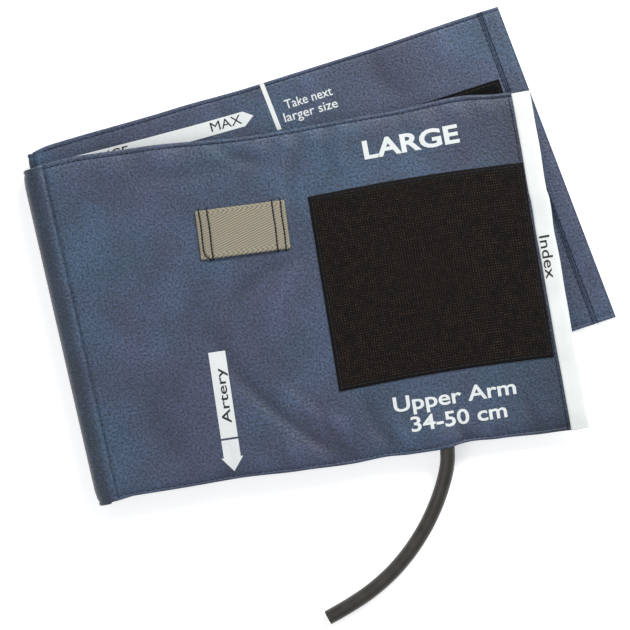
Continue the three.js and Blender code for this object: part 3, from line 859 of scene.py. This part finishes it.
def grown(name, base_mesh, tree, **values):
    """Runs a Geometry Nodes tree on a mesh and keeps the result as a plain mesh."""
    seed = new_object(name + "_seed", base_mesh)
    grower = seed.modifiers.new("grow", "NODES")
    grower.node_group = tree
    for item in tree.interface.items_tree:
        label = item.name.lower().replace(" ", "_")
        if item.in_out == "INPUT" and label in values:
            grower[item.identifier] = values[label]
    depsgraph = bpy.context.evaluated_depsgraph_get()
    mesh = bpy.data.meshes.new_from_object(seed.evaluated_get(depsgraph), depsgraph=depsgraph)
    mesh.name = name
    bpy.data.objects.remove(seed)
    return new_object(name, mesh)


def pile_seed(name, place, size, angle, pitch, lift, height, lean, bow=0.0):
    """Points in rows on a patch, each with its lean."""
    nx, ny = (int((size[i] - 2 * TAPE_BORDER + 2) / pitch[i]) for i in (0, 1))
    u, v = np.meshgrid((np.arange(nx) - (nx - 1) / 2) * pitch[0], (np.arange(ny) - (ny - 1) / 2) * pitch[1],
                       indexing="ij")
    draw = np.random.default_rng(7)
    u = u + draw.uniform(-0.14, 0.14, u.shape) * pitch[0]
    v = v + draw.uniform(-0.1, 0.1, v.shape) * pitch[1]
    x, y = on_patch(place, angle, u, v, bow, size[0])
    z = height(np.stack([x, y], axis=-1)) + lift
    mesh = bpy.data.meshes.new(name)
    mesh.from_pydata((np.stack([x, y, z], axis=-1).reshape(-1, 3) * MM).tolist(), [], [])
    turns = lean(nx, ny, draw).ravel() + math.radians(angle)
    mesh.attributes.new("lean", "FLOAT", "POINT").data.foreach_set("value", turns.astype(np.float32))
    return mesh


def touch_tape(name, low, high, ribs, roughness):
    """Dark woven ground of a touch tape, with zigzag ribs along its UV."""
    material, nodes, link, shader = new_material(name)
    cloth = nodes.new("ShaderNodeUVMap")
    cloth.uv_map = "cloth"
    zigzag = nodes.new("ShaderNodeTexWave")
    zigzag.bands_direction = "Y"
    zigzag.inputs["Scale"].default_value = ribs
    zigzag.inputs["Distortion"].default_value = 5
    zigzag.inputs["Detail"].default_value = 1
    zigzag.inputs["Detail Scale"].default_value = 1.6
    link(cloth.outputs["UV"], zigzag.inputs["Vector"])
    fluff = add(nodes, "ShaderNodeTexNoise", Scale=1400)
    link(cloth.outputs["UV"], fluff.inputs["Vector"])
    blend = nodes.new("ShaderNodeMath")
    blend.operation = "MULTIPLY"
    link(zigzag.outputs["Fac"], blend.inputs[0])
    link(fluff.outputs["Fac"], blend.inputs[1])
    tone = ramp(nodes, link, blend.outputs[0], low, high, high_at=0.7)
    link(tone.outputs["Color"], shader.inputs["Base Color"])
    shader.inputs["Roughness"].default_value = roughness
    shader.inputs["Specular IOR Level"].default_value = 0.25
    add_bump(nodes, link, shader, blend.outputs[0], 0.6, 0.0003)
    return material


def bristle_finish(name, low, high, roughness):
    """Nylon monofilament or pile: dark, with a little change of tone from place to place."""
    material, nodes, link, shader = new_material(name)
    place = nodes.new("ShaderNodeTexCoord")
    change = add(nodes, "ShaderNodeTexNoise", Scale=420, Detail=3)
    link(place.outputs["Object"], change.inputs["Vector"])
    tone = ramp(nodes, link, change.outputs["Fac"], low, high, 0.35, 0.7)
    link(tone.outputs["Color"], shader.inputs["Base Color"])
    shader.inputs["Roughness"].default_value = roughness
    shader.inputs["Specular IOR Level"].default_value = 0.35
    return material


def zigzag_lean(nx, ny, draw):
    side = np.where(np.arange(ny) % 2 == 0, 1, -1)[None, :]
    return np.radians(HOOK_LEAN) * side + draw.uniform(-0.18, 0.18, (nx, ny)) + np.pi / 2


def tangled_lean(nx, ny, draw):
    return draw.uniform(0, 2 * np.pi, (nx, ny))


PILE = pile_tree()
cover_plane = sloping(cover_upper, cover_in, fold_height, fold_height)
tail_plane = sloping(tail_upper, tail_in, TAIL_OUT, TAIL_HEIGHT)
hook_mesh = tape_mesh("hook_tape", HOOK_PLACE, HOOK_SIZE, HOOK_ANGLE, HOOK_TAPE, cover_plane, HOOK_BOW)
hook_tape = new_object("hook_tape", hook_mesh)
hook_tape.data.materials.append(touch_tape("hook_ground", "040202", "150f0a", 330, 0.8))
hooks = grown("hooks", pile_seed("hook_seed", HOOK_PLACE, HOOK_SIZE, HOOK_ANGLE, HOOK_PITCH, HOOK_TAPE + 0.3,
                                 cover_plane, zigzag_lean, HOOK_BOW),
              PILE, bend_radius=0.00046, sweep=4.1, start=-0.75, thread_radius=0.00011, steps=5,
              bristle=bristle_finish("hook_filament", "0e0906", "6e563f", 0.4))
loop_mesh = tape_mesh("loop_tape", LOOP_PLACE, LOOP_SIZE, LOOP_ANGLE, LOOP_TAPE, tail_plane)
loop_tape = new_object("loop_tape", loop_mesh)
loop_tape.data.materials.append(touch_tape("loop_ground", "050505", "14110f", 260, 0.95))
loops = grown("loops", pile_seed("loop_seed", LOOP_PLACE, LOOP_SIZE, LOOP_ANGLE, LOOP_PITCH, LOOP_TAPE - 0.05,
                                 tail_plane, tangled_lean),
              PILE, bend_radius=0.0007, sweep=math.pi, start=0.0, thread_radius=0.00016, steps=6,
              bristle=bristle_finish("loop_pile", "0a0908", "1d1a18", 0.9))
for piece, node, body, slot in ((hook_tape, "hook_patch", "cover_panel", "hook_black"),
                                (hooks, None, "cover_panel", "hook_black"),
                                (loop_tape, "loop_patch", "tail", "loop_black"),
                                (loops, None, "tail", "loop_black")):
    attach(piece, body)
    if node:
        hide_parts(node)

# ---- Gauge strap ----
# A short piece of grey-beige webbing, sewn down at both ends so that a gauge's clip can pass under it.
# It is woven in a diagonal twill with a herringbone band along each edge.
STRAP_BASE = 0.3
STRAP_THICK = 1.0
STRAP_RISE = 0.8
STRAP_STEP = 0.28
TWILL_PITCH = 1.1
TWILL_ANGLE = 19
SELVEDGE = 2.8
STRAP_ROWS = (2, 6, 37.6, 41.6)  # the sewn rows, along from the left end


def strap_lift(u):
    share = u / STRAP_SIZE[0] + 0.5
    return STRAP_RISE * np.clip(np.minimum(6 * share, 6 * (1 - share)), 0, 1)


def strap_rib(u, v):
    """Relief of the weave from 0 to 1: ribs of the twill, turned back along each edge."""
    c, s = way(TWILL_ANGLE)
    twill = np.sin(2 * np.pi * (v * c - u * s) / TWILL_PITCH)
    herring = np.sin(2 * np.pi * (u * 0.8 + np.abs(np.abs(v) - STRAP_SIZE[1] / 2 + SELVEDGE / 2) * 1.2) / 1.9)
    at_edge = fade((np.abs(v) - STRAP_SIZE[1] / 2 + SELVEDGE) / 0.5)
    ribs = twill * (1 - at_edge) + herring * at_edge
    yarn = np.sin(2 * np.pi * (u * c + v * s) / 0.62)
    return 0.5 + 0.38 * ribs + 0.12 * yarn


def strap_mesh():
    half_u, half_v = STRAP_SIZE[0] / 2, STRAP_SIZE[1] / 2
    us = np.arange(-half_u, half_u + STRAP_STEP / 2, STRAP_STEP)
    vs = np.arange(-half_v, half_v + STRAP_STEP / 2, STRAP_STEP)
    u, v = np.meshgrid(us, vs, indexing="ij")
    rib = strap_rib(u, v)
    ragged = 0.16 * np.sin(u * 4.4) * (np.abs(v) > half_v - 0.4)
    x, y = on_patch(STRAP_PLACE, STRAP_ANGLE, u, v + ragged * np.sign(v))
    edge = np.minimum(half_u - np.abs(u), half_v - np.abs(v))
    round_off = 1 - 0.45 * (1 - np.clip(edge / 0.7, 0, 1)) ** 2
    sunk = sum(np.exp(-(((u + half_u - row) / 0.55) ** 2)) for row in STRAP_ROWS)
    base = cover_plane(np.stack([x, y], axis=-1)) + STRAP_BASE + strap_lift(u)
    upper = base + STRAP_THICK * round_off - 0.16 + 0.18 * rib - 0.22 * np.clip(sunk, 0, 1)
    top = np.stack([x, y, upper], axis=-1)
    under = np.stack([x, y, base - 0.25 + 0 * rib], axis=-1)
    rows, wide = top.shape[:2]
    loop = np.concatenate([top, under[:, ::-1]], axis=1)
    mesh = closed_mesh("gauge_strap_webbing", loop.reshape(-1, 3), ring_faces(rows, 2 * wide))
    # The weave's relief is also kept as the attribute rib, which the webbing material paints as shade and
    # light: darker in the grooves, lighter on the crests.
    depth = np.concatenate([rib, 0.5 + 0 * rib[:, ::-1]], axis=1).ravel().astype(np.float32)
    mesh.attributes.new("rib", "FLOAT", "POINT").data.foreach_set("value", depth)
    return mesh


def webbing():
    material, nodes, link, shader = new_material("grey_webbing")
    rib = nodes.new("ShaderNodeAttribute")
    rib.attribute_name = "rib"
    # Painted shade and light of the twill: the colour follows the rib relief, painted shade in the grooves
    # and painted light on the crests.
    tone = ramp(nodes, link, rib.outputs["Fac"], "6b6556", "a19986", 0.12, 0.6)
    place = nodes.new("ShaderNodeTexCoord")
    fibre = add(nodes, "ShaderNodeTexNoise", Scale=1500)
    link(place.outputs["Object"], fibre.inputs["Vector"])
    tint = add(nodes, "ShaderNodeMapRange", To_Min=0.8, To_Max=1.15)
    link(fibre.outputs["Fac"], tint.inputs["Value"])
    bright = nodes.new("ShaderNodeVectorMath")
    bright.operation = "SCALE"
    link(tone.outputs["Color"], bright.inputs[0])
    link(tint.outputs["Result"], bright.inputs["Scale"])
    link(bright.outputs["Vector"], shader.inputs["Base Color"])
    shader.inputs["Roughness"].default_value = 0.75
    add_bump(nodes, link, shader, fibre.outputs["Fac"], 0.4, 0.0001)
    return material


strap = new_object("gauge_strap_webbing", strap_mesh())
strap.data.materials.append(webbing())
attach(strap, "cover_panel")
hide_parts("gauge_strap")

# ---- Sewing ----
# Running stitches of spun thread: black rows through the strap, navy rows along the seams and the hem,
# and black rows round the two patches. Each stitch is a small plump capsule along its seam line.


def stitch_tree():
    """Geometry Nodes: plump stitches set out along a line at an even pitch."""
    tree = bpy.data.node_groups.new("running_stitch", "GeometryNodeTree")
    face = tree.interface
    face.new_socket("Geometry", in_out="INPUT", socket_type="NodeSocketGeometry")
    for label, value in (("Pitch", 0.003), ("Stitch", 0.0026), ("Plump", 0.0006)):
        face.new_socket(label, in_out="INPUT", socket_type="NodeSocketFloat").default_value = value
    face.new_socket("Thread", in_out="INPUT", socket_type="NodeSocketMaterial")
    face.new_socket("Geometry", in_out="OUTPUT", socket_type="NodeSocketGeometry")
    nodes, link = tree.nodes, tree.links.new
    source, result = nodes.new("NodeGroupInput"), nodes.new("NodeGroupOutput")
    line = nodes.new("GeometryNodeMeshToCurve")
    link(source.outputs["Geometry"], line.inputs["Mesh"])
    spaced = nodes.new("GeometryNodeResampleCurve")
    spaced.mode = "LENGTH"
    link(line.outputs["Curve"], spaced.inputs["Curve"])
    link(source.outputs["Pitch"], spaced.inputs["Length"])
    bead = add(nodes, "GeometryNodeMeshUVSphere", Segments=7, Rings=5, Radius=0.5)
    size = nodes.new("ShaderNodeCombineXYZ")
    link(source.outputs["Plump"], size.inputs["X"])
    link(source.outputs["Plump"], size.inputs["Y"])
    link(source.outputs["Stitch"], size.inputs["Z"])
    run = nodes.new("GeometryNodeInputTangent")
    aim = nodes.new("FunctionNodeAlignRotationToVector")
    aim.axis = "Z"
    link(run.outputs["Tangent"], aim.inputs["Vector"])
    stand = nodes.new("GeometryNodeInstanceOnPoints")
    link(spaced.outputs["Curve"], stand.inputs["Points"])
    link(bead.outputs["Mesh"], stand.inputs["Instance"])
    link(aim.outputs["Rotation"], stand.inputs["Rotation"])
    link(size.outputs["Vector"], stand.inputs["Scale"])
    real = nodes.new("GeometryNodeRealizeInstances")
    link(stand.outputs["Instances"], real.inputs["Geometry"])
    soft = nodes.new("GeometryNodeSetShadeSmooth")
    link(real.outputs["Geometry"], soft.inputs["Geometry"])
    paint = nodes.new("GeometryNodeSetMaterial")
    link(soft.outputs["Geometry"], paint.inputs["Geometry"])
    link(source.outputs["Thread"], paint.inputs["Material"])
    link(paint.outputs["Geometry"], result.inputs["Geometry"])
    return tree


def seam_lines(name, lines):
    """A mesh of edges only, one chain for each seam line."""
    points, edges = [], []
    for line in lines:
        first = len(points)
        points += [tuple(np.asarray(p, float) * MM) for p in line]
        edges += [(i, i + 1) for i in range(first, len(points) - 1)]
    mesh = bpy.data.meshes.new(name)
    mesh.from_pydata(points, edges, [])
    return mesh


def round_patch(place, size, angle, inset, height, lift, bow=0.0):
    """The sewn line just inside a patch's edges."""
    a, b = size[0] / 2 - inset, size[1] / 2 - inset
    corners = [(-a, -b), (a, -b), (a, b), (-a, b), (-a, -b)]
    line = []
    for (u0, v0), (u1, v1) in zip(corners, corners[1:]):
        for t in np.linspace(0, 1, 40, endpoint=False):
            x, y = on_patch(place, angle, u0 + (u1 - u0) * t, v0 + (v1 - v0) * t, bow, size[0])
            line.append((x, y, height(np.array([x, y])) + lift))
    return line + line[:1]


STITCHES = stitch_tree()
black_thread = bristle_finish("black_thread", "101012", "26262a", 0.6)
navy_thread = bristle_finish("navy_thread", "0e1322", "1d2540", 0.6)
strap_lines = []
for number, row in enumerate(STRAP_ROWS):
    over = STRAP_SIZE[1] / 2 + 0.5
    line = []
    for v in np.linspace(-over, over, 30):
        u = row - STRAP_SIZE[0] / 2 + 0.12 * math.sin(v * 0.35 + number)
        if number == 0 and v < -9:
            u += (-9 - v) * 0.75
        x, y = on_patch(STRAP_PLACE, STRAP_ANGLE, u, v)
        down = fade((abs(v) - STRAP_SIZE[1] / 2 + 0.5) / 1.2)
        top = cover_plane(np.array([x, y])) + STRAP_BASE + STRAP_THICK + strap_lift(u) - 0.06
        line.append((x, y, top * (1 - down) + (cover_plane(np.array([x, y])) + 0.2) * down))
    strap_lines.append(line)
strap_thread = grown("strap_thread", seam_lines("strap_rows", strap_lines), STITCHES,
                     pitch=0.0020, stitch=0.0026, plump=0.00078, thread=black_thread)

seam = SEAM_AT.index(1.9)
last = COVER_ROWS - 2
cover_seams = []
for column in (seam, len(ACROSS) - 1 - seam):
    cover_seams.append(cover_face[4:last, column] + (0, 0, 0.08))
index_row = [(COVER_END[1][0] - 9.9 - d * 0.1275, COVER_END[1][1] + 0.9 - d)
             for d in np.arange(2.5, 164, 1.5)]
cover_seams.append([(x, y, dropped(cover_top, x, y, 0.05)) for x, y in index_row])
cover_thread = grown("cover_thread", seam_lines("cover_seams", cover_seams), STITCHES,
                     pitch=0.0026, stitch=0.0026, plump=0.0005, thread=navy_thread)
patch_thread = grown("hook_thread", seam_lines("hook_seams", [
    round_patch(HOOK_PLACE, HOOK_SIZE, HOOK_ANGLE, 1.6, cover_plane, HOOK_TAPE, HOOK_BOW)]), STITCHES,
    pitch=0.0028, stitch=0.0027, plump=0.00055, thread=black_thread)

tail_seams = [upward[3:-5, column] + (0, 0, 0.08) for column in (seam, len(ACROSS) - 1 - seam)]
seam_share = 1 - (HEM_WIDTH - HEM_SEAM_IN) / TAIL_LENGTH
ends = [np.array(tail_start[i]) * (1 - seam_share) + np.array(TAIL_END[i]) * seam_share for i in (0, 1)]
seam_spots = np.linspace(0.006, 0.994, 110)
spots = [ends[0] * (1 - t) + ends[1] * t for t in seam_spots]
tail_seams.append([(x, y, dropped(tail_top, x, y, HEM_THICK)) for x, y in spots])
spots = [hem_start[0] * (1 - t) + hem_start[1] * t for t in seam_spots]
tail_seams.append([(x - 0.5, y, dropped(tail_top, x - 0.5, y, 0.06)) for x, y in spots])
tail_thread = grown("tail_thread", seam_lines("tail_seams", tail_seams), STITCHES,
                    pitch=0.0026, stitch=0.0026, plump=0.0005, thread=navy_thread)
loop_thread = grown("loop_thread", seam_lines("loop_seams", [
    round_patch(LOOP_PLACE, LOOP_SIZE, LOOP_ANGLE, 1.6, tail_plane, LOOP_TAPE)]), STITCHES,
    pitch=0.0028, stitch=0.0027, plump=0.00055, thread=black_thread)
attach(strap_thread, "cover_panel")
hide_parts("strap_stitch_row_1", "strap_stitch_row_2",
            "strap_stitch_row_3", "strap_stitch_row_4")
for piece, body in ((strap_thread, None), (cover_thread, "cover_panel"), (patch_thread, "cover_panel"),
                    (tail_thread, "tail"), (loop_thread, "tail")):
    if body:
        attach(piece, body)

# ---- Index binding ----
# White coated tape folded over the end of the cover panel and sewn through, which marks the index edge.
BINDING_HALF = COVER_THICK / 2
BINDING_PROFILE = [  # out from the panel's edge, share of the half thickness, extra thickness
    (-8.5, 1, 0.12), (-8.3, 1, 0.42), (-7.2, 1, 0.52), (-6.2, 1, 0.56), (-3.2, 1, 0.62), (-1.2, 0.95, 0.58),
    (-0.2, 0.72, 0.5), (0.38, 0.4, 0.35), (0.62, 0, 0.0),
]
BINDING_TAPE = 0.4


def binding_mesh():
    upper, lower = np.array(COVER_END[1]), np.array(COVER_END[0])
    length = np.linalg.norm(lower - upper)
    down = (lower - upper) / length
    out = np.array([-down[1], down[0]])
    half = [*BINDING_PROFILE, *[(o, -s, -e) for o, s, e in BINDING_PROFILE[-2::-1]]]
    inner_half = [(o - (BINDING_TAPE if abs(s) < 0.8 else 0.0), s,
                   e - math.copysign(min(BINDING_TAPE, abs(e)), e)) for o, s, e in half]
    ring = half + inner_half[::-1]
    places = np.concatenate([[0, 0.4], np.linspace(1.5, length - 1.5, 84), [length - 0.4, length]])
    points = []
    for d in places:
        spot = upper + down * d
        thin = np.interp(min(d, length - d), SEAM_AT, SEAM_SHARE)
        nick = 0.55 * fade((d - 50) / 1.4) * (1 - fade((d - 56) / 14))
        wander = 0.18 * math.sin(d / 11) + 0.1 * math.sin(d / 4.3 + 1)
        for o, s, e in ring:
            plan = spot + out * (o + (wander + nick) * (1 if o > -1 else 0.5))
            z = cover_plane(plan) - BINDING_HALF + s * BINDING_HALF * max(thin, 0.35) + e
            points.append((*plan, z + 0.02 * math.sin(d / 9 + o)))
    size = len(ring)
    uvs = [(d, j * 0.9) for d in places for j in range(size)]
    return closed_mesh("index_binding_tape", points, ring_faces(len(places), size), uvs)


def white_tape():
    material, nodes, link, shader = new_material("white_tape")
    cloth = nodes.new("ShaderNodeUVMap")
    cloth.uv_map = "cloth"
    rib = nodes.new("ShaderNodeTexWave")
    rib.bands_direction = "X"
    rib.inputs["Scale"].default_value = 420
    rib.inputs["Distortion"].default_value = 1.5
    link(cloth.outputs["UV"], rib.inputs["Vector"])
    place = nodes.new("ShaderNodeTexCoord")
    soil = add(nodes, "ShaderNodeTexNoise", Scale=55, Detail=4)
    link(place.outputs["Object"], soil.inputs["Vector"])
    tone = ramp(nodes, link, soil.outputs["Fac"], "dfe4e1", "ecefec", 0.3, 0.62)
    link(tone.outputs["Color"], shader.inputs["Base Color"])
    shader.inputs["Roughness"].default_value = 0.5
    add_bump(nodes, link, shader, rib.outputs["Fac"], 0.25, 0.0001)
    return material


binding = new_object("index_binding_tape", binding_mesh())
binding.data.materials.append(white_tape())
binding_top = BVHTree.FromObject(binding, bpy.context.evaluated_depsgraph_get())
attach(binding, "cover_panel")
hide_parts("index_binding")

# ---- Printing ----
# Screen printed marks: white bands with black words, and plain white words on the navy cloth.
# Ink is a film on the cloth, so every mark is a thin sheet that follows the surface under it.
INK_LIFT = 0.14
WORD_LIFT = 0.24
INK_STEP = 2.4


def ink(name, colour, roughness):
    material, nodes, link, shader = new_material(name)
    place = nodes.new("ShaderNodeTexCoord")
    cover = add(nodes, "ShaderNodeTexNoise", Scale=900, Detail=2)
    link(place.outputs["Object"], cover.inputs["Vector"])
    tint = add(nodes, "ShaderNodeMapRange", To_Min=0.86, To_Max=1.05)
    link(cover.outputs["Fac"], tint.inputs["Value"])
    bright = nodes.new("ShaderNodeVectorMath")
    bright.operation = "SCALE"
    bright.inputs[0].default_value = srgb(colour)[:3]
    link(tint.outputs["Result"], bright.inputs["Scale"])
    link(bright.outputs["Vector"], shader.inputs["Base Color"])
    shader.inputs["Roughness"].default_value = roughness
    add_bump(nodes, link, shader, cover.outputs["Fac"], 0.2, 0.0001)
    return material


WHITE_INK = ink("white_ink", "e6eae9", 0.5)
BLACK_INK = ink("black_ink", "17181c", 0.55)


def word(text, middle, angle, width, cap, weight):
    """Flat letters as triangles in plan, set to a width and a cap height. A capital M takes no weight."""
    curve = bpy.data.curves.new("letters", "FONT")
    curve.body = text
    curve.align_x = "CENTER"
    curve.offset = weight
    curve.resolution_u = 4
    holder = new_object("letters", curve)
    depsgraph = bpy.context.evaluated_depsgraph_get()
    mesh = bpy.data.meshes.new_from_object(holder.evaluated_get(depsgraph))
    bpy.data.objects.remove(holder)
    p = np.array([v.co[:2] for v in mesh.vertices])
    faces = [tuple(f.vertices) for f in mesh.polygons]
    bpy.data.meshes.remove(mesh)
    low, high = p.min(axis=0), p.max(axis=0)
    tall = np.array([q[1] for q in p if q[1] <= high[1]]).max()
    u = (p[:, 0] - (low[0] + high[0]) / 2) * width / (high[0] - low[0])
    v = p[:, 1] * cap / tall - cap / 2
    x, y = on_patch(middle, angle, u, v)
    return np.column_stack([x, y]), faces


def outline(points):
    return np.array(points, float), [tuple(range(len(points)))]


def print_on(name, body, tree, parts):
    """Joins printed marks into one piece and lays it on the cloth. parts: (shape, ink, lift)."""
    whole = bmesh.new()
    for (plan, faces), colour, lift in parts:
        mark = bmesh.new()
        spots = [mark.verts.new((*(p * MM), 0)) for p in plan]
        for face in faces:
            mark.faces.new([spots[i] for i in face])
        bmesh.ops.remove_doubles(mark, verts=mark.verts, dist=1e-7)
        low, high = plan.min(axis=0), plan.max(axis=0)
        for axis in (0, 1):
            for cut in np.arange(low[axis] + INK_STEP, high[axis], INK_STEP):
                spot, normal = Vector((0, 0, 0)), Vector((0, 0, 0))
                spot[axis], normal[axis] = cut * MM, 1
                bmesh.ops.bisect_plane(mark, geom=[*mark.verts, *mark.edges, *mark.faces], plane_co=spot,
                                       plane_no=normal, dist=1e-8)
        bmesh.ops.triangulate(mark, faces=mark.faces)
        for v in mark.verts:
            v.co.z = dropped(tree, v.co.x / MM, v.co.y / MM, lift) * MM
        for f in mark.faces:
            f.material_index = colour
            if f.normal.z < 0:
                f.normal_flip()
        part = bpy.data.meshes.new("mark")
        mark.to_mesh(part)
        mark.free()
        whole.from_mesh(part)
        bpy.data.meshes.remove(part)
    whole.normal_update()
    bmesh.ops.reverse_faces(whole, faces=[f for f in whole.faces if f.normal.z < 0])
    mesh = bpy.data.meshes.new(name)
    whole.to_mesh(mesh)
    whole.free()
    piece = new_object(name, mesh)
    mesh.materials.append(WHITE_INK)
    mesh.materials.append(BLACK_INK)
    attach(piece, body)
    return piece


WHITE, BLACK = 0, 1
ARTERY_TOP, ARTERY_ANGLE, ARTERY_HALF = (-56.65, -15.3), -98.9, 4.12


def artery(points):
    return outline([on_patch(ARTERY_TOP, ARTERY_ANGLE, u, v) for u, v in points])


print_on("artery_arrow", "cover_panel", cover_top, [
    (artery([(0, -ARTERY_HALF), (42, -ARTERY_HALF), (42, ARTERY_HALF), (0, ARTERY_HALF)]), WHITE, INK_LIFT),
    (artery([(43, -ARTERY_HALF), (51.6, -ARTERY_HALF), (51.4, -5.4), (58.4, 0), (51.4, 5.4),
             (51.6, ARTERY_HALF), (43, ARTERY_HALF)]), WHITE, INK_LIFT),
    (word("Artery", on_patch(ARTERY_TOP, ARTERY_ANGLE, 21.5, 0.1), ARTERY_ANGLE + 180, 27, 4.3, 0.008),
     BLACK, WORD_LIFT),
])
print_on("size_words", "cover_panel", cover_top, [
    (word("Upper Arm", (46.9, -70.0), -8.6, 60, 7.2, 0.018), WHITE, INK_LIFT),
    (word("34-50 cm", (45.8, -80.5), -8.4, 47, 7.2, 0.018), WHITE, INK_LIFT),
    (word("LARGE", (63.5, 53.9), -6.9, 47, 8.8, 0.03), WHITE, INK_LIFT),
])
print_on("index_word", "cover_panel", binding_top, [
    (word("Index", (110.3, -19.4), -97.3, 21, 5.0, 0.004), BLACK, INK_LIFT)])
print_on("range_marks", "tail", tail_top, [
    (outline([(-96, 96.1), (-92.3, 95.9), (-59.5, 94.2), (-35, 93.2), (-10, 92.6), (-5.5, 89.2),
              (-10.8, 85.4), (-35, 86.0), (-59.5, 87.0), (-92, 88.6), (-96, 88.8)][::-1]), WHITE, INK_LIFT),
    (word("MAX", (-19.4, 89.6), -1.5, 15.4, 4.5, 0), BLACK, WORD_LIFT),
    (word("RANGE", (-80, 91.9), -3.0, 23, 4.5, 0.006), BLACK, WORD_LIFT),
    (outline([(3.5, 78.8), (5.7, 78.9), (4.0, 103.3), (1.8, 103.3)]), WHITE, INK_LIFT),
    (word("Take next", (22.6, 89.6), 0, 24, 4.4, 0.006), WHITE, INK_LIFT),
    (word("larger size", (21.9, 83.4), -1, 27, 4.4, 0.006), WHITE, INK_LIFT),
])
